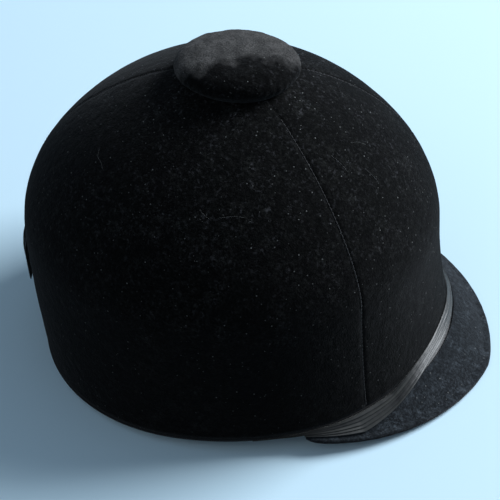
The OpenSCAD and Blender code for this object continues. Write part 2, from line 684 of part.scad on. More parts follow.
module anchor_brackets() color([0.14, 0.14, 0.15]) for (k = anchors) {
    x = k[0];
    side = k[1];
    wall = side_y(x + sign(x) * boss_r, shell_in) - fit_gap;
    difference() {
        union() {
            translate([x - bracket_l / 2, side > 0 ? bracket_y : -bracket_y - bracket_t, anchor_z - loop_r])
                cube([bracket_l, bracket_t, bracket_h]);
            for (e = [-1, 1])
                translate([x + e * (strap_w / 2 + ear_gap + ear_t / 2) - ear_t / 2,
                    side > 0 ? anchor_y - loop_r : -bracket_y - bracket_t / 2, anchor_z - loop_r])
                    cube([ear_t, bracket_y - anchor_y + loop_r + bracket_t / 2, 2 * loop_r]);
            anchor_hole(x, side, boss_r, bracket_y + bracket_t / 2, wall);
        }
        translate([x, side * anchor_y, anchor_z]) rotate([0, 90, 0])
            cylinder(r = bar_r + slot_gap, h = bracket_l + 4, center = true, $fn = 32);
        anchor_hole(x, side, rivet_r + run_gap, bracket_y - 4, wall + 3);
    }
}

module anchor_rivets() color("silver") for (k = anchors) {
    anchor_hole(k[0], k[1], rivet_r, bracket_y - rivet_head_t,
        side_y(k[0] + sign(k[0]) * rivet_r, shell_out) - rivet_short);
    anchor_hole(k[0], k[1], rivet_head_r, bracket_y - rivet_head_t - head_join, bracket_y - head_join);
}

module anchor_bars() color("silver") for (k = anchors)
    translate([k[0], k[1] * anchor_y, anchor_z]) rotate([0, 90, 0])
        cylinder(r = bar_r, h = bar_l + 0.6, center = true, $fn = 32);

// Each side of the harness is drawn flat, with its anchor bars on the x axis and its length
// along +y, and then hung from the anchors
module hung(side) translate([0, side * anchor_y, anchor_z])
    rotate([side * sag, 0, 0]) mirror([0, side > 0 ? 1 : 0, 0]) children();

module side_strap(x) difference() {
    end_x = sign(x) * strap_spread;
    union() {
        translate([0, 0, -strap_t / 2]) linear_extrude(strap_t) polygon([
            [x - strap_w / 2, 0], [x + strap_w / 2, 0],
            [x + strap_w / 2, strap_root], [end_x + strap_w / 2, side_drop - strap_lead],
            [end_x + strap_w / 2, side_drop - strap_end], [end_x - strap_w / 2, side_drop - strap_end],
            [end_x - strap_w / 2, side_drop - strap_lead], [x - strap_w / 2, strap_root]]);
        translate([x - strap_w / 2, 0, 0]) rotate([0, 90, 0]) cylinder(r = loop_r, h = strap_w, $fn = 40);
    }
    translate([x - strap_w, 0, 0]) rotate([0, 90, 0])
        cylinder(r = bar_r + run_gap, h = 2 * strap_w, $fn = 40);
}

module divider() difference() {
    back = side_drop - divider_neck - divider_l;
    union() {
        translate([-divider_w / 2, back, -divider_t / 2]) cube([divider_w, divider_l, divider_t]);
        for (e = [-1, 1])
            translate([e * (divider_bar_l + ear_t) / 2 - ear_t / 2, side_drop - divider_neck - 1,
                -divider_t / 2]) cube([ear_t, divider_neck + divider_t / 2 + 1, divider_t]);
        translate([0, side_drop, 0]) rotate([0, 90, 0])
            cylinder(r = bar_r, h = divider_bar_l + 2, center = true, $fn = 32);
    }
    translate([-divider_w / 2 + divider_wall, back - 1, -strap_t / 2 - fit_gap])
        cube([divider_w - 2 * divider_wall, side_drop - strap_end + fit_gap - back + 1,
            strap_t + 2 * fit_gap]);
}

webbing = [0.11, 0.11, 0.12];
black_plastic = [0.08, 0.08, 0.09];
module right_front_strap() color(webbing) hung(-1) side_strap(front_anchor_x);
module right_rear_strap() color(webbing) hung(-1) side_strap(-rear_anchor_x);
module right_divider() color(black_plastic) hung(-1) divider();
module left_front_strap() color(webbing) hung(1) side_strap(front_anchor_x);
module left_rear_strap() color(webbing) hung(1) side_strap(-rear_anchor_x);
module left_divider() color(black_plastic) hung(1) divider();

// What hangs on a divider's bar is folded back over the side straps, so it is drawn with the
// bar on the x axis and its length along +y, towards the anchors
module folded(side) hung(side) translate([0, side_drop, 0]) mirror([0, 1, 0]) children();

module folded_strap(length, rise) {
    half = strap_t / 2;
    difference() {
        union() {
            rotate([0, 90, 0]) cylinder(r = loop_r, h = chin_strap_w, center = true, $fn = 40);
            rotate([90, 0, 90]) translate([0, 0, -chin_strap_w / 2]) linear_extrude(chin_strap_w)
                polygon([[loop_r - strap_t, 0], [loop_r - strap_t / 4, rise - half], [length, rise - half],
                    [length, rise + half], [loop_r - strap_t, rise + half], [-loop_r + 0.2, 0]]);
        }
        rotate([0, 90, 0])
            cylinder(r = bar_r + run_gap, h = chin_strap_w + 2, center = true, $fn = 40);
    }
}

module chin_strap() color(webbing) folded(-1) folded_strap(chin_strap_l, chin_h);

module chin_pad() color([0.1, 0.1, 0.1]) folded(-1) translate([0, pad_start, 0]) difference() {
    low = divider_t / 2 + fit_gap;
    high = chin_h + strap_t / 2 + pad_over;
    mid = (low + high) / 2;
    rotate([90, 0, 0]) translate([0, 0, -chin_pad_l]) linear_extrude(chin_pad_l) {
        translate([-chin_strap_w / 2, low]) square([chin_strap_w, high - low]);
        for (e = [-1, 1]) translate([e * chin_strap_w / 2, mid]) circle(r = (high - low) / 2, $fn = 32);
    }
    translate([-chin_strap_w / 2 - slot_gap, -1, chin_h - strap_t / 2 - slot_gap])
        cube([chin_strap_w + 2 * slot_gap, chin_pad_l + 2, strap_t + 2 * slot_gap]);
}

// Buckle: each part is drawn from its strap end at y = 0 towards its free end along +y
slot_h = socket_h - 2 * socket_wall;
slot_w = buckle_w - 2 * socket_wall;
window_l = 6;
window_start = 9;
plug_body_l = 8;
plug_rim = 0.4;
module strap_slot() translate([-chin_strap_w / 2 - slot_gap, -1, -strap_t / 2 - slot_gap])
    cube([chin_strap_w + 2 * slot_gap, strap_grip + 1 + slot_gap, strap_t + 2 * slot_gap]);

module buckle_socket() color(black_plastic)
    folded(-1) translate([0, chin_strap_l - strap_grip, chin_h]) difference() {
        translate([-buckle_w / 2, 0, -socket_h / 2]) cube([buckle_w, socket_l, socket_h]);
        translate([-slot_w / 2, strap_grip + 2, -slot_h / 2]) cube([slot_w, socket_l, slot_h]);
        for (e = [-1, 1])
            translate([e * buckle_w / 2 - 3, window_start, -slot_h / 2]) cube([6, window_l, slot_h]);
        strap_slot();
    }

module short_strap() color(webbing) folded(1) folded_strap(short_strap_l, short_h);

plug_h = slot_h - 2 * plug_rim;
prong_root = slot_w / 2 - plug_rim;
module buckle_plug() color(black_plastic)
    folded(1) translate([0, short_strap_l - strap_grip, short_h]) {
        difference() {
            translate([-buckle_w / 2 + 1, 0, -plug_h / 2 - plug_rim])
                cube([buckle_w - 2, plug_body_l, plug_h + 2 * plug_rim]);
            strap_slot();
        }
        translate([-1.5, plug_body_l - 1, -plug_h / 4]) cube([3, prong_l - 3, plug_h / 2]);
        for (e = [-1, 1]) translate([0, plug_body_l - 1, -plug_h / 2]) linear_extrude(plug_h) polygon([
            [e * prong_root, 0], [e * (prong_root - 0.2), prong_l - 9],
            [e * (prong_root + 1.4), prong_l - 8], [e * (prong_root - 2), prong_l],
            [e * (prong_root - 3.6), prong_l], [e * (prong_root - 3), 0]]);
    }

module strap_adjuster() color(black_plastic)
    folded(1) translate([0, pad_start, short_h]) difference() {
        translate([-chin_strap_w / 2 - 2.5, 0, -adjuster_t / 2])
            cube([chin_strap_w + 5, adjuster_l, adjuster_t]);
        translate([-chin_strap_w / 2 - run_gap, -1, -strap_t / 2 - run_gap])
            cube([chin_strap_w + 2 * run_gap, adjuster_l + 2, strap_t + 2 * run_gap]);
    }

hard_shell();
foam_liner();
velvet_front();
velvet_left();
velvet_right();
rim_binding();
quilted_lining();
crown_pad();
sweatband_foam();
sweatband();
button_core();
button_cover();
button_stud();
button_washer();
peak_plate();
peak_velvet();
peak_lining();
peak_roll();
peak_rivets();
ribbon_band();
bow_loops();
bow_knot();
bow_tails();
nape_strap();
nape_rivets();
anchor_brackets();
anchor_rivets();
anchor_bars();
right_front_strap();
right_rear_strap();
right_divider();
left_front_strap();
left_rear_strap();
left_divider();
chin_strap();
chin_pad();
strap_adjuster();
buckle_socket();
short_strap();
buckle_plug();
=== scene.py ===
import math

import bmesh
import bpy
from mathutils import Matrix, Vector, noise


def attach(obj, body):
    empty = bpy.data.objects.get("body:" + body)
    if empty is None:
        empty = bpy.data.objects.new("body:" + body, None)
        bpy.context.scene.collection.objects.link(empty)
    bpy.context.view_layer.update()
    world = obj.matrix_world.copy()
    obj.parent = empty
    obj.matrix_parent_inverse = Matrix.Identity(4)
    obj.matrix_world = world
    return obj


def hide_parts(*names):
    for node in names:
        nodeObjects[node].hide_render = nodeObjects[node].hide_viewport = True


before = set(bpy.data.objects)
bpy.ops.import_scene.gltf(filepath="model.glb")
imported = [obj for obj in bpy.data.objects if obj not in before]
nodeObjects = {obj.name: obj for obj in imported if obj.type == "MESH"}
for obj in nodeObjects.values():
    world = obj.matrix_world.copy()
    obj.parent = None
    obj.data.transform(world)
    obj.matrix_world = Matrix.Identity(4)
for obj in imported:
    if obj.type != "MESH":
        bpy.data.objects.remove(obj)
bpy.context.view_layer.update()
millimetre = 0.001

# The crown and the hollow in mm, as the frame was built. Angles are plan angles from the peak.
crown = {
    "length": 240, "width": 226, "height": 186, "widestZ": 90, "lean": 7, "round": 1.58,
    "browFlare": 12, "napeTuck": 7, "rimRise": 16.5, "rimFlat": 0.8, "rimPower": 1.25,
    "browArch": 5, "archStart": 0.7, "archPower": 1.5, "seamAngle": 36,
}
layers = {
    "velvet": 1.2, "shellOut": 1.45, "shellIn": 4.65, "linerOut": 4.9, "rimEdge": 2.45, "linerLift": 24,
    "studHole": 3.3, "linerHole": 11.5,
}
hollow = {"length": 204.6, "width": 163.6, "height": 163.1, "z": 80, "x": 2, "round": 1.85}


# Shapes shared by the pieces

def place(x, y, z):
    return Vector((x, y, z)) * millimetre


def rimZ(c):
    rise = crown["rimRise"] * max(0, (c + crown["rimFlat"]) / (1 + crown["rimFlat"])) ** crown["rimPower"]
    arch = max(0, (c - crown["archStart"]) / (1 - crown["archStart"])) ** crown["archPower"]
    return rise + crown["browArch"] * arch


def wallAt(angle, z, out):
    c, s = math.cos(angle), math.sin(angle)
    spread = crown["browFlare"] if c > 0 else -crown["napeTuck"]
    low = max(0, (crown["widestZ"] - z) / crown["widestZ"]) ** 2
    f = 1 + spread / (crown["length"] / 2) * c * c * low
    return Vector(((crown["length"] / 2 + out) * c * f, (crown["width"] / 2 + out) * s * f, z))


# How far out and how high a row of a rounded dome lies, as shares of its radius and of its rise
def domeShares(b, power):
    turn = b * math.pi / 2
    return math.sin(turn) ** (2 / power), max(0, math.cos(turn)) ** (2 / power)


# Rows run from 0 at the top over 1 at the widest ring to 2 at the rim
def crownAt(angle, b, inset, lift=layers["rimEdge"]):
    if b > 1:
        z = crown["widestZ"]
        return wallAt(angle, z + (rimZ(math.cos(angle)) + lift - z) * (b - 1), -inset)
    r, rise = domeShares(b, crown["round"])
    return Vector(((crown["length"] / 2 - inset) * math.cos(angle) * r + crown["lean"] * (1 - r),
        (crown["width"] / 2 - inset) * math.sin(angle) * r,
        crown["widestZ"] + (crown["height"] - inset - crown["widestZ"]) * rise))


def hollowAt(angle, b, inset, lift=0):
    r, rise = domeShares(min(b, 1), hollow["round"])
    z = hollow["z"] + (hollow["height"] - inset - hollow["z"]) * rise
    if b > 1:
        z = hollow["z"] + (rimZ(math.cos(angle)) + lift - hollow["z"]) * (b - 1)
    return Vector(((hollow["length"] / 2 - inset) * math.cos(angle) * r + hollow["x"],
        (hollow["width"] / 2 - inset) * math.sin(angle) * r, z))


def clamped(value):
    return max(0, min(1, value))


def holeRow(radius, half, power):
    return math.asin((radius / half) ** (power / 2)) / (math.pi / 2)


def outward(angle):
    return Vector((math.cos(angle) / crown["length"], math.sin(angle) / crown["width"], 0)).normalized()


def spaced(first, last, count):
    return [first + (last - first) * i / count for i in range(count + 1)]


def degrees(values):
    return [math.radians(v) for v in values]


# Meshes

def link(made):
    bpy.context.scene.collection.objects.link(made)
    return made


def evenNormals(made):
    bm = bmesh.new()
    bm.from_mesh(made.data)
    bmesh.ops.recalc_face_normals(bm, faces=bm.faces)
    if bm.calc_volume(signed=True) < 0:
        bmesh.ops.reverse_faces(bm, faces=bm.faces)
    bm.to_mesh(made.data)
    bm.free()


def smoothFaces(made):
    for face in made.data.polygons:
        face.use_smooth = True


# Smooth mesh from points in mm and faces that each carry their corners and their places on the map
def finishMesh(name, points, faces):
    mesh = bpy.data.meshes.new(name)
    mesh.from_pydata([p * millimetre for p in points], [], [corners for corners, spots in faces])
    uv = mesh.uv_layers.new(name="cloth").data
    at = 0
    for corners, spots in faces:
        for spot in spots:
            uv[at].uv = spot
            at += 1
    made = link(bpy.data.objects.new(name, mesh))
    evenNormals(made)
    smoothFaces(made)
    return made


# Closed layer between two faces that are functions of a place along u and a row v, with a map in metres
def layerPiece(name, outer, inner, us, vs, ring=False, capped=False):
    m, n = len(us), len(vs)
    size = m * n
    out = [outer(u, v) for u in us for v in vs]
    points = out + [inner(u, v) for u in us for v in vs]
    middle = n * 2 // 3
    turns = m if ring else m - 1
    alongU = [0.0]
    for i in range(turns):
        step = out[(i + 1) % m * n + middle] - out[i * n + middle]
        alongU.append(alongU[-1] + step.length * millimetre)
    alongV = [0.0]
    for j in range(n - 1):
        alongV.append(alongV[-1] + (out[j + 1] - out[j]).length * millimetre)
    faces = []
    for i in range(turns):
        k = (i + 1) % m
        for j in range(n - 1):
            spots = [(alongU[p], alongV[q]) for p, q in ((i, j), (i + 1, j), (i + 1, j + 1), (i, j + 1))]
            quad = [i * n + j, k * n + j, k * n + j + 1, i * n + j + 1]
            faces.append((quad, spots))
            faces.append(([size + q for q in quad[::-1]], spots[::-1]))
        for j in [n - 1] if capped else [0, n - 1]:
            here, there = (alongU[i], alongV[j]), (alongU[i + 1], alongV[j])
            edge = [i * n + j, k * n + j, size + k * n + j, size + i * n + j]
            faces.append((edge, [here, there, there, here]))
        if capped:
            faces.append(([2 * size, k * n, i * n], [(alongU[i], 0)] * 3))
            faces.append(([2 * size + 1, size + i * n, size + k * n], [(alongU[i], 0)] * 3))
    if not ring:
        for i in (0, m - 1):
            for j in range(n - 1):
                at = i * n + j
                faces.append(([at, at + 1, size + at + 1, size + at], [(alongU[i], alongV[j])] * 4))
    if capped:
        points += [outer(0, 0), inner(0, 0)]
    return finishMesh(name, points, faces)


# Closed sections joined end to end, with flat ends
def sweptPiece(name, sections, closed=False):
    n = len(sections[0])
    points = [p for section in sections for p in section]
    around = [0.0]
    for j in range(n):
        around.append(around[-1] + (sections[0][(j + 1) % n] - sections[0][j]).length * millimetre)
    along = 0.0
    faces = []
    count = len(sections)
    for i in range(count if closed else count - 1):
        k = (i + 1) % count
        end = along + (sections[k][0] - sections[i][0]).length * millimetre
        for j in range(n):
            q = (j + 1) % n
            spots = [(along, around[j]), (along, around[j + 1]), (end, around[j + 1]), (end, around[j])]
            faces.append(([i * n + j, i * n + q, k * n + q, k * n + j], spots))
        along = end
    if not closed:
        faces.append((list(range(n))[::-1], [(0, 0)] * n))
        faces.append((list(range((count - 1) * n, count * n)), [(along, 0)] * n))
    return finishMesh(name, points, faces)


# A strip of webbing or tape along a centre line, with a rounded edge and its map along and across it
def stripPiece(name, centres, across, width, thickness):
    count = len(centres)
    half = width / 2 - thickness / 2
    upper = [(-half, 1), (-half / 2, 1), (0, 1), (half / 2, 1), (half, 1),
        (half + thickness * 0.35, 0.7), (half + thickness / 2, 0), (half + thickness * 0.35, -0.7)]
    outline = upper + [(-x, -y) for x, y in upper]
    sections = []
    for i, centre in enumerate(centres):
        tangent = (centres[min(i + 1, count - 1)] - centres[max(i - 1, 0)]).normalized()
        up = tangent.cross(across).normalized()
        sections.append([centre + across * x + up * y * thickness / 2 for x, y in outline])
    return sweptPiece(name, sections)


def keepMesh(source, name):
    depsgraph = bpy.context.evaluated_depsgraph_get()
    evaluated = source.evaluated_get(depsgraph)
    mesh = bpy.data.meshes.new_from_object(evaluated, preserve_all_data_layers=True, depsgraph=depsgraph)
    bpy.data.objects.remove(source, do_unlink=True)
    return link(bpy.data.objects.new(name, mesh))


def addBevel(made, width, segments=2, angle=40):
    bevel = made.modifiers.new("edges", "BEVEL")
    bevel.width = width * millimetre
    bevel.segments = segments
    bevel.limit_method = "ANGLE"
    bevel.angle_limit = math.radians(angle)


# A merged copy of a CAD node with eased edges, which stands for the node
def easedCopy(node, name, width, material, body, slot):
    source = nodeObjects[node]
    made = link(bpy.data.objects.new(name, source.data.copy()))
    made.matrix_world = source.matrix_world
    bm = bmesh.new()
    bm.from_mesh(made.data)
    bmesh.ops.remove_doubles(bm, verts=bm.verts, dist=0.00001)
    bmesh.ops.dissolve_limit(bm, angle_limit=math.radians(1), verts=bm.verts, edges=bm.edges)
    bm.to_mesh(made.data)
    bm.free()
    addBevel(made, width)
    made = keepMesh(made, name)
    smoothFaces(made)
    made.data.set_sharp_from_angle(angle=math.radians(35))
    dress(made, material, body, slot, node)
    return made


def dress(made, material, body, slot, *nodes):
    made.data.materials.clear()
    made.data.materials.append(material)
    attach(made, body)
    if nodes:
        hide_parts(*nodes)
    return made


# Materials

def linear(hexText):
    values = [int(hexText[i:i + 2], 16) / 255 for i in (1, 3, 5)]
    return tuple(v / 12.92 if v <= 0.04045 else ((v + 0.055) / 1.055) ** 2.4 for v in values) + (1,)


def addNode(tree, kind, inputs=None, **settings):
    made = tree.nodes.new(kind)
    for key, value in settings.items():
        setattr(made, key, value)
    for key, value in (inputs or {}).items():
        socket = made.inputs[key]
        if isinstance(value, bpy.types.NodeSocket):
            tree.links.new(value, socket)
        else:
            socket.default_value = value
    return made
def firstOf(tree, kind, inputs=None, **settings):
    return addNode(tree, kind, inputs, **settings).outputs[0]

def perMillimetre(size):
    return 1 / (size * millimetre)


def startMaterial(name):
    material = bpy.data.materials.new(name)
    material.use_nodes = True
    tree = material.node_tree
    tree.nodes.clear()
    return material, tree


def endMaterial(tree, surface, **sockets):
    shader = addNode(tree, "ShaderNodeBsdfPrincipled", surface)
    for key, value in sockets.items():
        shader.inputs[key.replace("_", " ")].default_value = value
    addNode(tree, "ShaderNodeOutputMaterial", {"Surface": shader.outputs[0]})


def colourMix(tree, factor, first, second, blend="MIX"):
    made = addNode(tree, "ShaderNodeMix", data_type="RGBA", blend_type=blend)
    for key, value in ((0, factor), (6, first), (7, second)):
        if isinstance(value, bpy.types.NodeSocket):
            tree.links.new(value, made.inputs[key])
        else:
            made.inputs[key].default_value = value
    return made.outputs[2]


# Short forms for the nodes that the finishes share, each giving back what the node puts out
def mathOf(tree, operation, first, second, clamp=False):
    return firstOf(tree, "ShaderNodeMath", {0: first, 1: second}, operation=operation, use_clamp=clamp)


def rangeOf(tree, value, low=0.0, high=1.0, toLow=0.0, toHigh=1.0):
    return firstOf(tree, "ShaderNodeMapRange",
        {"Value": value, "From Min": low, "From Max": high, "To Min": toLow, "To Max": toHigh})


def noiseOf(tree, where, size, detail=3.0, roughness=0.5):
    return firstOf(tree, "ShaderNodeTexNoise",
        {"Vector": where, "Scale": perMillimetre(size), "Detail": detail, "Roughness": roughness})


def cellsOf(tree, where, size, **settings):
    cells = addNode(tree, "ShaderNodeTexVoronoi", {"Vector": where, "Scale": perMillimetre(size)}, **settings)
    return cells.outputs


# Bands of yarn. The wave node turns by 20 radians for each unit of its scaled map.
def yarnsOf(tree, uv, size, distortion, direction, detail=2.0):
    return addNode(tree, "ShaderNodeTexWave",
        {"Vector": uv, "Scale": perMillimetre(size) / 20, "Distortion": distortion, "Detail": detail},
        wave_type="BANDS", bands_direction=direction).outputs[1]


# Noise drawn out along one axis of its map
def streaksOf(tree, where, scales):
    drawn = firstOf(tree, "ShaderNodeMapping", {"Vector": where, "Scale": scales})
    return firstOf(tree, "ShaderNodeTexNoise", {"Vector": drawn, "Scale": 1.0, "Detail": 3.0})


def bumpOf(tree, height, strength, depth, under=None):
    inputs = {"Height": height, "Strength": strength, "Distance": depth * millimetre}
    if under:
        inputs["Normal"] = under
    return firstOf(tree, "ShaderNodeBump", inputs)


# The same colour, darker or paler by a share
def shaded(colour, share):
    return tuple(min(1, c * share) for c in colour[:3]) + (1,)


# Cotton velvet: a short dyed pile that drinks the light and greys at grazing angles. The nap is flecked
# where it is crushed, grey specks grow stronger towards its upper side, and places marked by the button's
# point attribute show a paler ground, which is partly rubbed nap and partly a painted highlight.
def cottonVelvet(name, pile, fleck, rubbedLitGround, fleckShare, upperSpecks, lint, sheen):
    material, tree = startMaterial(name)
    where = addNode(tree, "ShaderNodeTexCoord").outputs["Object"]

    def noiseShare(size, low, high, top):
        return rangeOf(tree, noiseOf(tree, where, size, roughness=0.6), low, high, 0.0, top)

    broad = mathOf(tree, "MULTIPLY", noiseShare(34, 0.35, 0.7, 1.0), noiseShare(9, 0.38, 0.62, 1.0))
    fine = mathOf(tree, "ADD",
        noiseShare(1.3, 0.46, 0.74, fleckShare), noiseShare(3.6, 0.48, 0.72, fleckShare * 0.6))
    strength = rangeOf(tree, broad, toLow=0.3, toHigh=1.3)
    cloth = colourMix(tree, mathOf(tree, "MULTIPLY", fine, strength, clamp=True), linear(pile), linear(fleck))
    height = addNode(tree, "ShaderNodeSeparateXYZ", {0: where}).outputs["Z"]
    # Grey specks, stronger towards the top of each piece
    upper = rangeOf(tree, height, 0.04, 0.17, 0.1)
    upperSpeckShare = mathOf(tree, "MULTIPLY", noiseShare(2.2, 0.56, 0.72, upperSpecks), upper)
    cloth = colourMix(tree, mathOf(tree, "MULTIPLY", upperSpeckShare, strength), cloth, linear("#55565a"))
    # Where the button's attribute is set, the colour turns to a paler ground: rubbed nap, and a painted
    # highlight on the lit top
    bare = noiseShare(0.9, 0.38, 0.66, 1.0)
    ground = colourMix(tree, bare, shaded(linear(rubbedLitGround), 0.6), shaded(linear(rubbedLitGround), 1.5))
    rubbed_and_lit = addNode(tree, "ShaderNodeAttribute", attribute_name="rubbed_and_lit")
    cloth = colourMix(tree, rubbed_and_lit.outputs["Fac"], cloth, ground)
    specks = cellsOf(tree, where, 2.9)
    chosen = addNode(tree, "ShaderNodeSeparateColor", {"Color": specks["Color"]}).outputs
    near = mathOf(tree, "LESS_THAN", specks["Distance"], 0.13)
    speck = mathOf(tree, "MULTIPLY", near, mathOf(tree, "LESS_THAN", chosen[0], lint))
    cloth = colourMix(tree, mathOf(tree, "MULTIPLY", speck, chosen[1]), cloth, linear("#6a6c6b"))
    crushed = bumpOf(tree, noiseOf(tree, where, 6, 4.0), 0.5, 1.4)
    nap = bumpOf(tree, noiseOf(tree, where, 0.9), 0.7, 0.5, crushed)
    endMaterial(tree, {"Base Color": cloth, "Normal": nap}, Roughness=1.0,
        Sheen_Weight=sheen, Sheen_Roughness=0.5, Sheen_Tint=linear("#d5dade"), Specular_IOR_Level=0.05)
    return material


# Grosgrain: a corded acetate ribbon, with painted sheen as pale streaks in its colour along its folds
def grosgrain(name, dark, light):
    material, tree = startMaterial(name)
    uv = addNode(tree, "ShaderNodeTexCoord").outputs["UV"]
    sheenStreak = streaksOf(tree, uv, (25.0, 1400.0, 1.0))
    # The pale streaks of colour are painted sheen; the same streaks also shape the relief
    cloth = colourMix(tree, rangeOf(tree, sheenStreak, 0.35, 0.7), linear(dark), linear(light))
    ribs = bumpOf(tree, yarnsOf(tree, uv, 0.8, 0.4, "X", 1.0), 0.15, 0.15)
    silk = bumpOf(tree, sheenStreak, 0.5, 0.3, ribs)
    endMaterial(tree, {"Base Color": cloth, "Normal": silk}, Roughness=0.4,
        Sheen_Weight=0.3, Sheen_Roughness=0.3, Sheen_Tint=linear("#e2e2dc"), Specular_IOR_Level=0.5)
    return material


# Woven webbing or tape: crossed yarns that run along and across the strip
def wovenStrip(name, yarn, dark, light, roughness):
    material, tree = startMaterial(name)
    uv = addNode(tree, "ShaderNodeTexCoord").outputs["UV"]
    warp = yarnsOf(tree, uv, yarn, 0.3, "Y")
    weave = mathOf(tree, "MULTIPLY", warp, yarnsOf(tree, uv, yarn * 1.4, 0.3, "DIAGONAL"))
    cloth = colourMix(tree, weave, linear(dark), linear(light))
    endMaterial(tree, {"Base Color": cloth, "Normal": bumpOf(tree, weave, 0.8, 0.35)}, Roughness=roughness,
        Sheen_Weight=0.2, Sheen_Roughness=0.4, Specular_IOR_Level=0.3)
    return material


# Smooth lining cloth: a close knit with a soft satin light
def liningCloth(name, dark, light, sheen):
    material, tree = startMaterial(name)
    where = addNode(tree, "ShaderNodeTexCoord").outputs["Object"]
    cloth = colourMix(tree, noiseOf(tree, where, 24), linear(dark), linear(light))
    knit = bumpOf(tree, cellsOf(tree, where, 0.9)["Distance"], 0.45, 0.2)
    endMaterial(tree, {"Base Color": cloth, "Normal": knit}, Roughness=0.6,
        Sheen_Weight=sheen, Sheen_Roughness=0.35, Specular_IOR_Level=0.35)
    return material


# Glove leather: fine grain, darker in the creases, rubbed on the high places
def gloveLeather(name, dark, light):
    material, tree = startMaterial(name)
    where = addNode(tree, "ShaderNodeTexCoord").outputs["Object"]
    creases = noiseOf(tree, where, 11, 5.0)
    hide = colourMix(tree, creases, linear(dark), linear(light))
    grain = bumpOf(tree, cellsOf(tree, where, 1.1)["Distance"], 0.5, 0.25)
    gloss = rangeOf(tree, creases, toLow=0.42, toHigh=0.66)
    endMaterial(tree, {"Base Color": hide, "Roughness": gloss, "Normal": grain}, Specular_IOR_Level=0.4)
    return material


# Moulded plastic: even colour with the faint pitting of a spark-eroded tool
def mouldedPlastic(name, colour, roughness, pitting):
    material, tree = startMaterial(name)
    where = addNode(tree, "ShaderNodeTexCoord").outputs["Object"]
    pits = noiseOf(tree, where, pitting)
    skin = colourMix(tree, noiseOf(tree, where, 18, 2.0), linear(colour), shaded(linear(colour), 1.5))
    gloss = rangeOf(tree, pits, toLow=roughness - 0.08, toHigh=roughness + 0.12)
    relief = bumpOf(tree, pits, 0.3, 0.15)
    endMaterial(tree, {"Base Color": skin, "Roughness": gloss, "Normal": relief}, IOR=1.5)
    return material


# Bead foam: swollen beads pressed together, with dark lines where they meet
def beadFoam(name):
    material, tree = startMaterial(name)
    where = addNode(tree, "ShaderNodeTexCoord").outputs["Object"]
    edge = rangeOf(tree, cellsOf(tree, where, 3.4, feature="DISTANCE_TO_EDGE")["Distance"], 0.0, 0.09)
    foam = colourMix(tree, edge, linear("#a9a79f"), linear("#dedcd3"))
    relief = bumpOf(tree, edge, 0.5, 0.4)
    endMaterial(tree, {"Base Color": foam, "Normal": relief}, Roughness=0.7, Specular_IOR_Level=0.3)
    return material


# Plated steel: drawn wire and stamped heads with a dull zinc skin and fine scratches
def platedSteel(name):
    material, tree = startMaterial(name)
    where = addNode(tree, "ShaderNodeTexCoord").outputs["Object"]
    scratch = streaksOf(tree, where, (1500.0, 180.0, 1500.0))
    skin = colourMix(tree, scratch, linear("#8f9194"), linear("#c3c5c8"))
    gloss = rangeOf(tree, scratch, toLow=0.28, toHigh=0.5)
    relief = bumpOf(tree, scratch, 0.15, 0.1)
    endMaterial(tree, {"Base Color": skin, "Roughness": gloss, "Normal": relief}, Metallic=1.0)
    return material


# Pressed cork board: brown grains in a paler binder
def corkBoard(name):
    material, tree = startMaterial(name)
    where = addNode(tree, "ShaderNodeTexCoord").outputs["Object"]
    grains = cellsOf(tree, where, 1.8)
    grain = addNode(tree, "ShaderNodeSeparateColor", {"Color": grains["Color"]}).outputs[0]
    board = colourMix(tree, grain, linear("#7a5634"), linear("#b98d5c"))
    relief = bumpOf(tree, grains["Distance"], 0.4, 0.3)
    endMaterial(tree, {"Base Color": board, "Normal": relief}, Roughness=0.85)
    return material


# Spun thread and loose fibres: fine matt yarn
def spunThread(name, colour):
    material, tree = startMaterial(name)
    where = addNode(tree, "ShaderNodeTexCoord").outputs["Object"]
    paler = tuple(min(1, c * 1.8 + 0.004) for c in linear(colour)[:3]) + (1,)
    yarn = colourMix(tree, noiseOf(tree, where, 0.6, 2.0), linear(colour), paler)
    endMaterial(tree, {"Base Color": yarn}, Roughness=0.7, Sheen_Weight=0.3, Specular_IOR_Level=0.3)
    return material

print("materials")
crownVelvet = cottonVelvet("cotton_velvet", "#040404", "#242524", "#1b1b1b", 0.85, 0.5, 0.4, 0.075)
buttonVelvet = cottonVelvet("cotton_velvet_button", "#050505", "#1d1e1e", "#4b4a49", 0.8, 0.25, 0.35, 0.06)
# The peak's velvet is a paler, bluer copy of the crown's: painted light for the peak's upturned face
litPeakVelvet = cottonVelvet("cotton_velvet_peak_lit", "#16191c", "#474e54", "#1b1b1b", 1.0, 0.3, 0.40, 0.25)
# The paler colour of each ribbon is painted sheen
ribbonCloth = grosgrain("grosgrain_ribbon", "#0e0f0f", "#3c3d3b")
bowCloth = grosgrain("grosgrain_bow", "#0a0a0b", "#1e1e20")
bindingTape = wovenStrip("twill_tape", 0.9, "#060607", "#101012", 0.85)
strapWeb = wovenStrip("polypropylene_webbing", 1.3, "#0b0b0d", "#26262b", 0.55)
smoothLining = liningCloth("cotton_sateen_lining", "#0d0d10", "#17171b", 0.3)
quiltCloth = liningCloth("nylon_tricot_lining", "#101014", "#1c1c22", 0.5)
openFoam = liningCloth("open_cell_foam", "#1c1c1e", "#26262a", 0.1)
bandLeather = gloveLeather("glove_leather", "#120e0c", "#251d19")
shellPlastic = mouldedPlastic("moulded_abs_shell", "#141417", 0.5, 1.2)
bucklePlastic = mouldedPlastic("moulded_acetal", "#0e0e10", 0.36, 0.9)
linerFoam = beadFoam("polystyrene_bead_foam")
steel = platedSteel("zinc_plated_steel")
cork = corkBoard("pressed_cork")
blackThread = spunThread("polyester_thread_black", "#141416")
lintFibre = spunThread("cotton_lint", "#505252")


# Geometry node tools

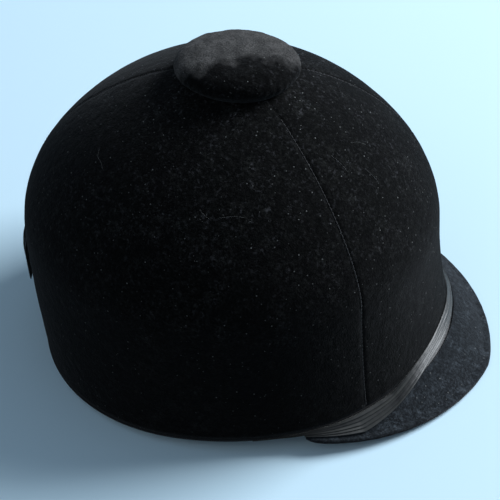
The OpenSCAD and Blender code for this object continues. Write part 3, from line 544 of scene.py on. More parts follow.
def startTree(name, sockets):
    tree = bpy.data.node_groups.new(name, "GeometryNodeTree")
    tree.interface.new_socket("Geometry", in_out="INPUT", socket_type="NodeSocketGeometry")
    for label, kind in sockets.items():
        tree.interface.new_socket(label, in_out="INPUT", socket_type="NodeSocket" + kind)
    tree.interface.new_socket("Geometry", in_out="OUTPUT", socket_type="NodeSocketGeometry")
    return tree, addNode(tree, "NodeGroupInput").outputs


# Puts a piece on each point, as real mesh in its own material
def endTree(tree, points, piece, rotation, scale, material):
    placed = firstOf(tree, "GeometryNodeInstanceOnPoints",
        {"Points": points, "Instance": piece, "Rotation": rotation, "Scale": scale})
    real = firstOf(tree, "GeometryNodeRealizeInstances", {0: placed})
    dressed = firstOf(tree, "GeometryNodeSetMaterial", {"Geometry": real, "Material": material})
    addNode(tree, "NodeGroupOutput", {0: dressed})
    return tree


def runTree(tree, source, values, name):
    modifier = source.modifiers.new("make", "NODES")
    modifier.node_group = tree
    for item in tree.interface.items_tree:
        if item.in_out == "INPUT" and item.name in values:
            modifier[item.identifier] = values[item.name]
    return keepMesh(source, name)


# Stitches laid end to end along a line
def stitchTree():
    tree, given = startTree("stitch_row",
        {"Spacing": "Float", "Stitch length": "Float", "Thread radius": "Float", "Thread": "Material"})
    line = firstOf(tree, "GeometryNodeMeshToCurve", {"Mesh": given["Geometry"]})
    even = firstOf(tree, "GeometryNodeResampleCurve",
        {"Curve": line, "Length": given["Spacing"]}, mode="LENGTH")
    bead = firstOf(tree, "GeometryNodeMeshUVSphere", {"Segments": 6, "Rings": 4, "Radius": 1.0})
    size = firstOf(tree, "ShaderNodeCombineXYZ",
        {"X": given["Thread radius"], "Y": given["Thread radius"], "Z": given["Stitch length"]})
    along = firstOf(tree, "GeometryNodeInputTangent")
    turned = firstOf(tree, "FunctionNodeAlignRotationToVector", {"Vector": along}, axis="Z")
    return endTree(tree, even, bead, turned, size, given["Thread"])


# Short bent fibres strewn over a surface, fewer towards its lower edge
def lintTree():
    tree, given = startTree("lint", {"Density": "Float", "Fibre length": "Float", "Fibre radius": "Float",
        "Lowest": "Float", "Highest": "Float", "Seed": "Int", "Fibre": "Material"})
    where = firstOf(tree, "GeometryNodeInputPosition")
    height = addNode(tree, "ShaderNodeSeparateXYZ", {0: where}).outputs["Z"]
    share = rangeOf(tree, height, given["Lowest"], given["Highest"], 0.12)
    density = mathOf(tree, "MULTIPLY", given["Density"], share)
    spots = addNode(tree, "GeometryNodeDistributePointsOnFaces",
        {"Mesh": given["Geometry"], "Density": density, "Seed": given["Seed"]}).outputs
    arc = firstOf(tree, "GeometryNodeCurveArc",
        {"Resolution": 6, "Radius": given["Fibre length"], "Sweep Angle": 1.6})
    ring = firstOf(tree, "GeometryNodeCurvePrimitiveCircle",
        {"Resolution": 4, "Radius": given["Fibre radius"]})
    fibre = firstOf(tree, "GeometryNodeCurveToMesh", {"Curve": arc, "Profile Curve": ring, "Fill Caps": True})
    spin = firstOf(tree, "FunctionNodeRandomValue",
        {"Max": (0.25, 0.25, 6.28), "Seed": given["Seed"]}, data_type="FLOAT_VECTOR")
    spun = firstOf(tree, "FunctionNodeEulerToRotation", {0: spin})
    turned = firstOf(tree, "FunctionNodeRotateRotation",
        {"Rotation": spots["Rotation"], "Rotate By": spun}, rotation_space="LOCAL")
    size = addNode(tree, "FunctionNodeRandomValue",
        {2: 0.25, 3: 1.3, "Seed": given["Seed"]}, data_type="FLOAT")
    return endTree(tree, spots[0], fibre, turned, size.outputs[1], given["Fibre"])


stitchRow = stitchTree()
lintOver = lintTree()
sewing = {"spacing": 3.4, "length": 1.25, "radius": 0.32}


def stitches(name, lines, body, spacing=sewing["spacing"]):
    points, edges = [], []
    for line in lines:
        start = len(points)
        points += [p * millimetre for p in line]
        edges += [(start + i, start + i + 1) for i in range(len(line) - 1)]
    mesh = bpy.data.meshes.new(name + "_line")
    mesh.from_pydata(points, edges, [])
    source = link(bpy.data.objects.new(name + "_line", mesh))
    values = {"Spacing": spacing, "Stitch length": sewing["length"], "Thread radius": sewing["radius"]}
    values = {key: value * millimetre for key, value in values.items()}
    made = runTree(stitchRow, source, {**values, "Thread": blackThread}, name)
    smoothFaces(made)
    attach(made, body)
    return made


# Crown velvet

print("crown velvet")
panel = {
    "holeRadius": 8, "rows": 92, "seamGap": 0.10, "seamDepth": 0.6, "seamWidth": 1.4, "pucker": 0.16,
    "puckerLength": 8.5, "puckerReach": 7, "unevenness": 0.4, "unevenSize": 46,
    "crumple": 0.1, "crumpleSize": 9, "easeStep": 0.075, "easeReach": 0.5, "easeWeights": (1, 4, 6, 4, 1),
    "nearSeam": (0.15, 0.35, 0.6, 0.9, 1.3, 1.8, 2.4, 3.1), "clearOfSeam": 4, "angleStep": 1.6,
    "stitchInset": 0.55, "stitchSpacing": 2.6,
}


def unevenness(point):
    broad = panel["unevenness"] * noise.noise(point / panel["unevenSize"])
    return broad + panel["crumple"] * noise.noise(point / panel["crumpleSize"])


# The crown with its bend at the widest ring eased over a hand's width, as stretched velvet lies
def easedCrownAt(angle, b, inset):
    reach = panel["easeStep"] * max(0, 1 - (abs(b - 1) / panel["easeReach"]) ** 2)
    weights = panel["easeWeights"]
    points = [crownAt(angle, b + (k - 2) * reach, inset) * weight for k, weight in enumerate(weights)]
    return sum(points, Vector()) / sum(weights)


def panelAt(angle, b, start, end):
    flat = crownAt(angle, b, 0)
    fromSeam = min(abs(angle - start), abs(end - angle)) * math.hypot(flat.x, flat.y)
    wave = (b * 150 + 2.2 * noise.noise(flat / 14)) * 2 * math.pi / panel["puckerLength"]
    dip = panel["seamDepth"] * math.exp(-(fromSeam / panel["seamWidth"]) ** 2)
    dip += panel["pucker"] * math.exp(-(fromSeam / panel["puckerReach"]) ** 2) * math.sin(wave)
    return easedCrownAt(angle, b, dip - unevenness(flat))


def velvetPanel(name, node, start, end):
    first = holeRow(panel["holeRadius"], crown["length"] / 2, crown["round"])
    rows = spaced(first, 1, panel["rows"] * 3 // 5) + spaced(1, 2, panel["rows"] * 2 // 5)[1:]
    a, z = math.radians(start), math.radians(end)
    edge = math.asin(panel["seamGap"] / 2 / (crown["width"] / 2))
    near = degrees(panel["nearSeam"])
    clear = panel["clearOfSeam"]
    count = int((end - start - 2 * clear) / panel["angleStep"])
    middle = spaced(a + math.radians(clear), z - math.radians(clear), count)
    angles = [a + edge] + [a + n for n in near] + middle + [z - n for n in reversed(near)] + [z - edge]
    made = layerPiece(name, lambda u, v: panelAt(u, v, a, z),
        lambda u, v: crownAt(u, v, layers["velvet"]), angles, rows)
    return dress(made, crownVelvet, "helmet", "velvet", node)


seam = crown["seamAngle"]
panelFront = velvetPanel("velvet_panel_front", "velvet_front", -seam, seam)
panelLeft = velvetPanel("velvet_panel_left", "velvet_left", seam, 180)
panelRight = velvetPanel("velvet_panel_right", "velvet_right", -180, -seam)


def seamLine(angle):
    rows = spaced(0.3, 1, 60) + spaced(1, 1.97, 40)[1:]
    return [crownAt(math.radians(angle), b, panel["stitchInset"]) for b in rows]


seamLines = [seamLine(a) for a in (-seam, seam, 180)]
stitches("crown_seam_stitches", seamLines, "helmet", panel["stitchSpacing"])


# Hard layers inside

print("shell and liner")
allRound = degrees(spaced(-180, 180, 144)[:-1])


def layerRows(top):
    return spaced(top, 1, 20) + spaced(1, 2, 8)[1:]


shellTop = holeRow(layers["studHole"], crown["length"] / 2, crown["round"])
shell = layerPiece("shell_moulding", lambda u, v: crownAt(u, v, layers["shellOut"]),
    lambda u, v: crownAt(u, v, layers["shellIn"]), allRound, layerRows(shellTop), ring=True)
addBevel(shell, 0.4)
dress(keepMesh(shell, "shell_moulding"), shellPlastic, "helmet", "shell", "hard_shell")

linerTop = holeRow(layers["linerHole"], crown["length"] / 2, crown["round"])
liner = layerPiece("liner_moulding", lambda u, v: crownAt(u, v, layers["linerOut"], layers["linerLift"]),
    lambda u, v: hollowAt(u, max(v, linerTop), 0, layers["linerLift"]),
    allRound, layerRows(linerTop), ring=True)
addBevel(liner, 1.5, segments=3)
dress(keepMesh(liner, "liner_moulding"), linerFoam, "helmet", "foam", "foam_liner")


# Rim binding

print("rim binding")
binding = {"height": 2.2, "out": 0.1, "in": 4.55, "stitchUp": 1.5, "stitchOut": 0.05}


def bindingSection(angle):
    low = rimZ(math.cos(angle))
    high = low + binding["height"]
    out, back = binding["out"], -binding["in"]
    marks = [(out, high), (out + 0.1, low + 1.2), (out - 0.15, low + 0.4), (out - 0.8, low),
        ((out + back) / 2, low), (back + 0.8, low), (back + 0.1, low + 0.5), (back, high), (out - 0.5, high)]
    return [wallAt(angle, max(0, z), o) for o, z in marks]


rim = sweptPiece("rim_tape", [bindingSection(a) for a in allRound], closed=True)
dress(rim, bindingTape, "helmet", "binding", "rim_binding")
bindingLine = [wallAt(a, rimZ(math.cos(a)) + binding["stitchUp"], -binding["in"] - binding["stitchOut"])
    for a in degrees(spaced(-180, 180, 240))]
stitches("rim_tape_stitches", [bindingLine], "helmet")


# Button

print("button")
button = {
    "length": 35, "side": 31.5, "z": 183.5, "rise": 11, "power": 0.7, "edge": 0.74, "lip": 0.84,
    "lipDrop": 2.5, "lipIn": 0.8, "footIn": 6, "footGap": 0.3, "skin": 1.2, "gathers": 46, "gather": 0.22,
    "crumple": 0.5, "creaseAngle": 144, "creaseRadius": 26, "creaseDepth": 1.1,
    "creaseWidth": 1.6, "creaseBend": 0.02, "creaseLength": 9,
    # Where the paler ground lies: rubbed nap and a painted highlight on the top, dark on the near edge
    "rubLitEdge": 14, "rubLitTurn": 27, "rubLitFade": 7, "rubLitLow": 183, "rubLitRise": 4,
    "tilt": 4.3, "tiltTurn": -70, "lift": 2.3,
}


# Height of the velvet under a point of the button
def seatUnder(x, y):
    low, high = 0.0, 1.0
    for i in range(24):
        b = (low + high) / 2
        r = domeShares(b, crown["round"])[0]
        along, across = (x - crown["lean"] * (1 - r)) / (crown["length"] / 2), y / (crown["width"] / 2)
        if math.hypot(along, across) > r:
            low = b
        else:
            high = b
    return crown["widestZ"] + (crown["height"] - crown["widestZ"]) * domeShares(high, crown["round"])[1]


# How far the velvet of the button stands off its smooth form
def buttonFolds(x, y, share):
    turn = math.atan2(y, x)
    spot = Vector((x, y, 0))
    side = clamped((share - 0.45) / 0.3)
    gathers = button["gather"] * side * math.sin(turn * button["gathers"] + 4 * noise.noise(spot / 9))
    crumple = button["crumple"] * noise.noise(spot / 7) + 0.25 * noise.noise(Vector((x, y, 9)) / 2.8)
    aim = math.radians(button["creaseAngle"])
    radial = x * math.cos(aim) + y * math.sin(aim) - button["creaseRadius"]
    cross = x * math.sin(aim) - y * math.cos(aim)
    bent = radial / button["creaseWidth"] + button["creaseBend"] * cross * cross
    crease = button["creaseDepth"] * math.exp(-bent ** 2 - (cross / button["creaseLength"]) ** 2)
    return gathers + crumple * min(1, math.hypot(x, y) / 5) * (1 - 0.5 * side) - crease


# A point of the level button, leant over about the middle of its lower edge
def leant(p):
    base = button["z"] - button["lipDrop"]
    tilt, turn = math.radians(button["tilt"]), math.radians(button["tiltTurn"])
    x, rise = p.x - crown["lean"], p.z - base
    along = x * math.cos(turn) + p.y * math.sin(turn)
    cross = p.y * math.cos(turn) - x * math.sin(turn)
    moved = along * math.cos(tilt) - rise * math.sin(tilt)
    return Vector((crown["lean"] + moved * math.cos(turn) - cross * math.sin(turn),
        moved * math.sin(turn) + cross * math.cos(turn),
        base + button["lift"] + along * math.sin(tilt) + rise * math.cos(tilt)))


# The share runs from the middle of the top over the edge and the lip to the foot on the crown
def buttonAt(turn, share, inset):
    under = max(0, (share - button["lip"]) / (1 - button["lip"]))
    if share < button["edge"]:
        t = math.pi / 2 * (1 - share / button["edge"])
        r = (button["length"] - inset) * math.cos(t) ** button["power"]
        z = button["z"] + (button["rise"] - inset) * math.sin(t)
    else:
        down = min(1, (share - button["edge"]) / (button["lip"] - button["edge"]))
        pull = button["lipIn"] * down * down
        r = button["length"] - inset - pull - (button["footIn"] - button["lipIn"]) * under
        z = button["z"] - button["lipDrop"] * down + inset / 2 * down
    squeeze = (button["side"] - inset) / (button["length"] - inset)
    x, y = r * math.cos(turn), r * math.sin(turn) * squeeze
    lift = buttonFolds(x, y, share) * (1 - under) if inset == 0 else 0
    level = clamped((share - 0.4) / 0.4)
    grow = 1 + lift * level / button["length"]
    top = leant(Vector((x * grow + crown["lean"], y * grow, z + lift * (1 - level))))
    x += crown["lean"]
    return top.lerp(Vector((x, y, seatUnder(x, y) + button["footGap"])), under)


buttonAngles = degrees(spaced(0, 360, 216)[:-1])
buttonRows = spaced(0.03, button["edge"], 44) + spaced(button["edge"], 1, 18)[1:]
cap = layerPiece("button_velvet", lambda u, v: buttonAt(u, v, 0), lambda u, v: buttonAt(u, v, button["skin"]),
    buttonAngles, buttonRows, ring=True, capped=True)
dress(cap, buttonVelvet, "helmet", "velvet", "button_cover")


# Noise over the plan of the button, with a pattern of its own at each depth
def planNoise(spot, depth, size):
    return noise.noise(Vector((spot.x, spot.y, depth)) / size)


# The button's top is painted paler, partly as rubbed nap and partly as a painted highlight where the light
# falls; the edge towards the camera stays dark
rubbed_and_lit = cap.data.attributes.new("rubbed_and_lit", "FLOAT", "POINT")
rubLitAim = math.radians(button["rubLitTurn"] - 90)
for i, vertex in enumerate(cap.data.vertices):
    spot = vertex.co / millimetre
    toward = (spot.x - crown["lean"]) * math.cos(rubLitAim) + spot.y * math.sin(rubLitAim)
    past = button["rubLitEdge"] - toward + 7 * planNoise(spot, 0, 11) + 2.5 * planNoise(spot, 5, 3)
    high = clamped((spot.z - button["rubLitLow"]) / button["rubLitRise"])
    rubbed_and_lit.data[i].value = clamped(past / button["rubLitFade"]) * high * (0.8 + 0.4 * planNoise(spot, 2, 6))


# Peak

print("peak")
peak = {
    "reach": 23.5, "angle": 54, "plate": 1.8, "lining": 0.8, "roll": 2.1, "rollTaper": 0.25, "rollGap": 0.25,
    "arch": 2.5, "gap": 0.3, "fade": 56, "power": 1.2, "endRise": 10, "edgeAngle": 60, "velvet": 1.2,
    "sheetGap": 0.3, "start": 0.12, "under": 0.08, "endEase": 4, "steps": 220,
}
band = {
    "folds": 5, "angle": 68, "gap": 0.35, "rise": 7, "riseAngle": 28, "aboveRim": 1.4, "foot": 0.3,
    "footSide": 7, "footShare": 0.9, "fanStart": 8, "fanStartLeft": 30, "fan": 32, "footLow": 0.5,
    "settle": 8, "narrowAngle": 40, "endShare": 0.45, "thick": 1.4, "bulge": 0.3, "samples": 9, "rows": 260,
    "turnUnder": 0.93, "tucked": 0.96,
}


def peakOut(a):
    return peak["reach"] * (1 - (abs(math.degrees(a)) / peak["fade"]) ** peak["power"])


def peakTop(a):
    return rimZ(math.cos(a)) - peak["gap"] - 0.05


def rollRadius(a):
    return peak["roll"] * (1 - peak["rollTaper"] * (math.degrees(a) / peak["angle"]) ** 2)


def peakEdge(a):
    return rollRadius(a) + peak["endRise"] * (math.degrees(a) / peak["edgeAngle"]) ** 2


def peakAt(a, v, height):
    top = peakTop(a)
    tip = peakEdge(a) + peak["plate"] / 2
    out = peakOut(a)
    fall = max(0, top - tip)
    n = math.hypot(fall, out)
    foot = wallAt(a, rimZ(math.cos(a)), peak["gap"])
    z = top + (tip - top) * v + peak["arch"] * out / peak["reach"] * 4 * v * (1 - v)
    flat = foot + (out * v + fall * height / n) * outward(a)
    return Vector((flat.x, flat.y, z + out * height / n))


def bandShare(a):
    past = max(0, (abs(math.degrees(a)) - band["narrowAngle"]) / (band["angle"] - band["narrowAngle"]))
    return 1 - (1 - band["endShare"]) * past


def bandTop(a):
    brow = max(0, 1 - (math.degrees(a) / band["riseAngle"]) ** 2)
    return rimZ(math.cos(a)) + band["aboveRim"] + band["rise"] * brow


def bandFootShare(a):
    start = band["fanStartLeft"] if a > 0 else band["fanStart"]
    fan = clamped((abs(math.degrees(a)) - start) / band["fan"])
    foot = band["foot"] + band["footSide"] * math.sin(fan * math.pi / 2) ** 2
    return min(band["footShare"], foot / peakOut(a))


# Beyond the peak the foot of the band runs along the rim
def bandFoot(a):
    past = abs(math.degrees(a)) - peak["angle"]
    if past <= 0:
        return peakAt(a, bandFootShare(a), peak["sheetGap"] + peak["velvet"] + band["gap"])
    off = band["gap"] + (peak["sheetGap"] + peak["velvet"]) * max(0, 1 - past / band["settle"])
    return wallAt(a, rimZ(math.cos(a)) + band["footLow"], off)


# The velvet starts under the band, runs down the peak, turns round the cord of its edge and is glued
# back under it
def peakSection(a):
    past = max(0, (abs(math.degrees(a)) - peak["angle"] + peak["endEase"]) / peak["endEase"])
    ease = math.sqrt(max(0.06, 1 - past ** 2))
    low, high = peak["sheetGap"], peak["sheetGap"] + peak["velvet"] * ease
    section = []
    start = max(peak["start"], bandFootShare(a) - peak["under"])
    for v in spaced(start, 0.99, 26):
        p = peakAt(a, v, high)
        p.z += (0.3 * noise.noise(p / 24) + 0.14 * noise.noise(p / 6)) * ease
        section.append(p)
    middle = peakAt(a, 1, 0) + (rollRadius(a) * ease + peak["rollGap"]) * outward(a)
    middle.z = peakEdge(a)
    for t in degrees(spaced(62, -180, 20)):
        uneven = 0.13 * noise.noise(Vector((middle.x, middle.y, 4 * t)) / 5)
        r = rollRadius(a) * ease + 0.3 * max(0, math.sin(t + 0.6)) * ease + uneven
        p = middle + r * (math.cos(t) * outward(a) + Vector((0, 0, math.sin(t))))
        p.z = max(0, p.z)
        section.append(p)
    return section + [peakAt(a, v, low) for v in spaced(0.995, start, 14)]


peakAngles = degrees(spaced(-peak["angle"], peak["angle"], peak["steps"]))
peakCover = sweptPiece("peak_velvet_cover", [peakSection(a) for a in peakAngles])
# The peak velvet is painted paler for the light on its upturned face
dress(peakCover, litPeakVelvet, "helmet", "velvet", "peak_velvet", "peak_roll")
under = -peak["plate"] - peak["sheetGap"]
liningSheet = layerPiece("peak_under_cloth", lambda u, v: peakAt(u, v, under),
    lambda u, v: peakAt(u, v, under - peak["lining"]),
    degrees(spaced(-peak["angle"], peak["angle"], 96)), spaced(peak["start"], 1, 12))
dress(liningSheet, smoothLining, "helmet", "binding", "peak_lining")


# Pleated ribbon band

print("ribbon")
# Folds lie over one another like slates, drift in width along the band and flatten towards its ends
def bandSection(a):
    top = wallAt(a, bandTop(a), band["gap"])
    across = bandFoot(a) - top
    out = (outward(a) + Vector((0, 0, 0.35))).normalized()
    deg = math.degrees(a)
    marks = [0]
    for i in range(1, band["folds"]):
        marks.append(i / band["folds"] + 0.075 * noise.noise(Vector((deg / 19, i * 5.3, 0))))
    marks.append(1)
    section = []
    for i in range(band["folds"]):
        wide = marks[i + 1] - marks[i]
        deep = band["thick"] * bandShare(a) * (0.8 + 0.5 * noise.noise(Vector((deg / 13, i * 7.7, 3))))
        ripple = 0.10 * noise.noise(Vector((deg / 3, i * 3.1, 7)))
        ripple = (ripple + 0.05 * noise.noise(Vector((deg * 2, i * 3.1, 1)))) * bandShare(a)
        for k in range(band["samples"]):
            f = k / (band["samples"] - 1)
            turned = f >= band["turnUnder"]
            swell = deep * 0.3 if turned else deep * (0.12 + 0.80 * f ** 0.7)
            down = marks[i] + wide * (band["tucked"] if turned else f)
            section.append(top + across * down + out * max(0.05, swell + ripple))
    bulges = [(t, band["bulge"] * math.sin(math.pi * t)) for t in (1, 0.75, 0.5, 0.25, 0)]
    back = [top + across * t + bulge * outward(a) for t, bulge in bulges]
    return section + back


bandAngles = degrees(spaced(-band["angle"], band["angle"], band["rows"]))
ribbon = sweptPiece("ribbon_pleats", [bandSection(a) for a in bandAngles])
dress(ribbon, ribbonCloth, "helmet", "ribbon", "ribbon_band")


# Bow at the back

print("bow")
bow = {"z": 54, "reach": 46, "start": 3.5, "depth": 3.2, "width": 22, "ribbon": 0.8, "tail": 46, "slope": 40,
    "lift": 0.4}


def backAt(y, z, out):
    return wallAt(math.pi - math.asin(y / (crown["width"] / 2)), z, out)


def loopAt(side, t, b, inset):
    half = (bow["reach"] - bow["start"]) / 2 - inset
    y = bow["start"] + inset + half * (1 + math.cos(t))
    near = max(0, 1 - (y - bow["start"]) / 26)
    spread = bow["width"] / 2 * (0.55 + 0.45 * math.sin(math.pi / 2 * min(1, y / bow["reach"])) ** 0.7)
    pinch = 0.45 * near * math.sin(b * 9) + 0.25 * noise.noise(Vector((y / 7, b * 1.5, side)))
    high = (1 + math.sin(t)) / 2
    out = 0.5 + inset + (bow["depth"] - 2 * inset) * high + pinch * (0.25 + 0.75 * high)
    sag = -1.5 * (y / bow["reach"]) ** 2
    return backAt(side * y, bow["z"] + b * spread + sag, max(0.3, out))


loops = []
for side in (-1, 1):
    loops.append(layerPiece("bow_loop", lambda u, v: loopAt(side, u, v, 0),
        lambda u, v: loopAt(side, u, v, bow["ribbon"]), degrees(spaced(0, 360, 56)[:-1]),
        spaced(1, -1, 24), ring=True))


def joined(pieces, name):
    bm = bmesh.new()
    for piece in pieces:
        bm.from_mesh(piece.data)
    mesh = bpy.data.meshes.new(name)
    bm.to_mesh(mesh)
    bm.free()
    for piece in pieces:
        bpy.data.objects.remove(piece, do_unlink=True)
    return link(bpy.data.objects.new(name, mesh))


dress(joined(loops, "bow_ribbon_loops"), bowCloth, "helmet", "ribbon", "bow_loops")


def tailAt(side, t, b, out):
    half = 3 + 6.5 * t
    notch = 5 * max(0, t - 0.82) / 0.18 * (1 - abs(b)) if t > 0.82 else 0
    along = 6 + (bow["tail"] - 6) * t - notch
    c, s = math.cos(math.radians(bow["slope"])), math.sin(math.radians(bow["slope"]))
    ripple = 0.5 * (1 + math.sin(t * 8 + side + b * 2)) * t
    return backAt(side * (along * s + b * half * c), bow["z"] - 6 - along * c + b * half * s, out + ripple)


tails = []
for side in (-1, 1):
    tails.append(layerPiece("bow_tail", lambda u, v: tailAt(side, u, v * side, bow["lift"] + bow["ribbon"]),
        lambda u, v: tailAt(side, u, v * side, bow["lift"]), spaced(0, 1, 40), spaced(-1, 1, 14)))
dress(joined(tails, "bow_ribbon_tails"), bowCloth, "helmet", "ribbon", "bow_tails")


def knotSection(y):
    middle = backAt(0, bow["z"], 0)
    section = []
    for k in range(28):
        t = 2 * math.pi * k / 28
        fold = 1 + 0.06 * math.sin(y * 4.2) * max(0, math.cos(t))
        out = 3.1 + 2.6 * math.cos(t) * fold * (1 - 0.05 * y * y)
        across = y * (1 + 0.12 * math.sin(t) ** 2)
        section.append(Vector((middle.x - out, across, middle.z + 6.9 * math.sin(t) * fold)))
    return section


knot = sweptPiece("bow_centre_wrap", [knotSection(y) for y in spaced(-2.9, 2.9, 16)])
dress(knot, bowCloth, "helmet", "ribbon", "bow_knot")


# Linings

print("linings")
quilt = {"inset": 0.7, "thick": 3.0, "puff": 1.3, "lift": 50, "across": 20, "down": 5.0, "fade": 0.3}


def quiltPuff(angle, b):
    along = angle / (2 * math.pi) * quilt["across"]
    down = b * quilt["down"]
    a = abs(math.sin(math.pi * (along + down)))
    c = abs(math.sin(math.pi * (along - down)))
    return quilt["puff"] * ((a * c) ** 0.45) * min(1, b / quilt["fade"])


def quiltInset(angle, b):
    return quilt["inset"] + quilt["thick"] - quilt["puff"] + quiltPuff(angle, b)


quiltRows = [0.05, 0.08, 0.11] + spaced(0.14, 1, 64) + spaced(1, 2, 16)[1:]
quilting = layerPiece("quilted_cap_lining", lambda u, v: hollowAt(u, v, quilt["inset"], quilt["lift"]),
    lambda u, v: hollowAt(u, v, quiltInset(u, v), quilt["lift"]),
    degrees(spaced(0, 360, 320)[:-1]), quiltRows, ring=True, capped=True)
dress(quilting, quiltCloth, "helmet", "lining", "quilted_lining")


# Swells a closed pad with a short cloth run, and holds each point within a cap of its start
def swell(made, name, voxel, cap, pressure=4.0):
    remesh = made.modifiers.new("even", "REMESH")
    remesh.mode = "VOXEL"
    remesh.voxel_size = voxel * millimetre
    made = keepMesh(made, name)
    before = [v.co.copy() for v in made.data.vertices]
    cloth = made.modifiers.new("swell", "CLOTH")
    cloth.settings.use_pressure = True
    cloth.settings.uniform_pressure_force = pressure
    cloth.settings.effector_weights.gravity = 0
    cloth.point_cache.frame_start, cloth.point_cache.frame_end = 1, 20
    scene = bpy.context.scene
    for step in range(1, 21):
        scene.frame_set(step)
    depsgraph = bpy.context.evaluated_depsgraph_get()
    after = [v.co.copy() for v in made.evaluated_get(depsgraph).to_mesh().vertices]
    made.modifiers.clear()
    scene.frame_set(1)
    for v, old, new in zip(made.data.vertices, before, after):
        move = new - old
        v.co = old + move * min(1, cap * millimetre / max(move.length, 1e-9))
    return made


crownPad = {"radius": 42, "thick": 8, "inset": 4.4, "channels": 3, "channelWidth": 1.6, "channelDepth": 1.8}
padLast = holeRow(crownPad["radius"] - 1, hollow["width"] / 2, hollow["round"])


def padInset(v):
    return crownPad["inset"] + (crownPad["thick"] - 1) * math.sqrt(1 - v * v * 0.7)


pad = layerPiece("pad", lambda u, v: hollowAt(u, v * padLast, crownPad["inset"]),
    lambda u, v: hollowAt(u, v * padLast, padInset(v)),
    degrees(spaced(0, 360, 60)[:-1]), spaced(0.1, 1, 12), ring=True, capped=True)
pad = swell(pad, "crown_cushion", 2.0, 0.9)
subdivide = pad.modifiers.new("smooth", "SUBSURF")
subdivide.levels = subdivide.render_levels = 1
pad = keepMesh(pad, "crown_cushion")
for vertex in pad.data.vertices:
    x, y = vertex.co.x / millimetre - hollow["x"], vertex.co.y / millimetre
    radius = math.hypot(x, y)
    groove = 0
    for k in range(crownPad["channels"]):
        t = math.pi * k / crownPad["channels"]
        off = (x * math.sin(t) - y * math.cos(t)) / crownPad["channelWidth"]
        groove = max(groove, math.exp(-off ** 2))
    belly = hollowAt(0, 0, crownPad["inset"] + 4).z - radius * radius * 0.004
    if vertex.co.z < belly * millimetre and radius < crownPad["radius"] - 4:
        vertex.co.z += crownPad["channelDepth"] * millimetre * groove
smoothFaces(pad)
evenNormals(pad)
dress(pad, quiltCloth, "helmet", "lining", "crown_pad")

headBand = {
    "lift": 14, "height": 34, "inset": 3.6, "thick": 1.2, "foamInset": 0.3, "foam": 3.0, "foamShort": 2,
    "stitchRows": (0.07, 0.93), "stitchOut": 0.15,
}
headAngles = degrees(spaced(-180, 180, 220))
bandEdge = headBand["lift"] + headBand["height"]


def bandWall(inset, angle, share, low, high):
    p = hollowAt(angle, 1, inset)
    return Vector((p.x, p.y, rimZ(math.cos(angle)) + high + (low - high) * share))


def foamWall(angle, share, inset):
    high = bandEdge - headBand["foamShort"]
    return bandWall(headBand["foamInset"] + inset, angle, share, layers["linerLift"], high)


def leatherWall(angle, share, side, out=0):
    soft = 0.35 * math.sin(math.pi * share)
    soft += 0.25 * noise.noise(Vector((math.cos(angle) * 4, math.sin(angle) * 4, share * 3)))
    inset = headBand["inset"] + side * headBand["thick"] + soft - 0.3
    return bandWall(inset + out, angle, share, headBand["lift"], bandEdge)


bandFoam = layerPiece("sweatband_padding", lambda u, v: foamWall(u, v, 0),
    lambda u, v: foamWall(u, v, headBand["foam"] - 0.4 + 0.4 * math.sin(math.pi * v)),
    headAngles[:-1], spaced(0, 1, 8), ring=True)
dress(bandFoam, openFoam, "helmet", "lining", "sweatband_foam")

leather = layerPiece("sweatband_leather", lambda u, v: leatherWall(u, v, 0),
    lambda u, v: leatherWall(u, v, 1), headAngles[:-1], spaced(0, 1, 26), ring=True)
dress(leather, bandLeather, "helmet", "sweatband_leather", "sweatband")
sewLines = []
for share in headBand["stitchRows"]:
    sewLines.append([leatherWall(a, share, 1, headBand["stitchOut"]) for a in headAngles])
stitches("sweatband_stitches", sewLines, "helmet")

nape = {"from": 120, "to": 240, "inset": 4.95, "thick": 1.6, "low": 5.45, "width": 15}
napeCentres = []
for a in degrees(spaced(nape["from"], nape["to"], 60)):
    middle = nape["low"] + nape["width"] / 2 + rimZ(math.cos(a))
    napeCentres.append(wallAt(a, middle, -nape["inset"] - nape["thick"] / 2))
napeWeb = stripPiece("nape_webbing", napeCentres, Vector((0, 0, 1)), nape["width"], nape["thick"])
dress(napeWeb, strapWeb, "helmet", "webbing", "nape_strap")


# Harness. Points are drawn flat, with the anchor bars on the x axis and the length along y, and then hung.

print("harness")
harness = {
    "drop": 84.19, "anchorY": 90.07, "anchorZ": 14, "dividerZ": 3.8, "frontX": 40, "rearX": -40, "width": 15,
    "thick": 1.6, "loop": 3.1, "spread": 7.65, "chinWidth": 18, "chinLength": 44.5, "shortLength": 47,
    "chinH": 7.6, "shortH": 4.8, "padStart": 8, "padLength": 31.9, "bend": 8, "sewnHalf": 5.5, "sewnUp": 2.65,
}
sag = math.asin((harness["anchorZ"] - harness["dividerZ"]) / harness["drop"])


def hung(side, x, y, z):
    return Vector((x, side * (harness["anchorY"] - y * math.cos(sag) - z * math.sin(sag)),
        harness["anchorZ"] - y * math.sin(sag) + z * math.cos(sag)))


def folded(side, x, u, h):
    return hung(side, x, harness["drop"] - u, h)


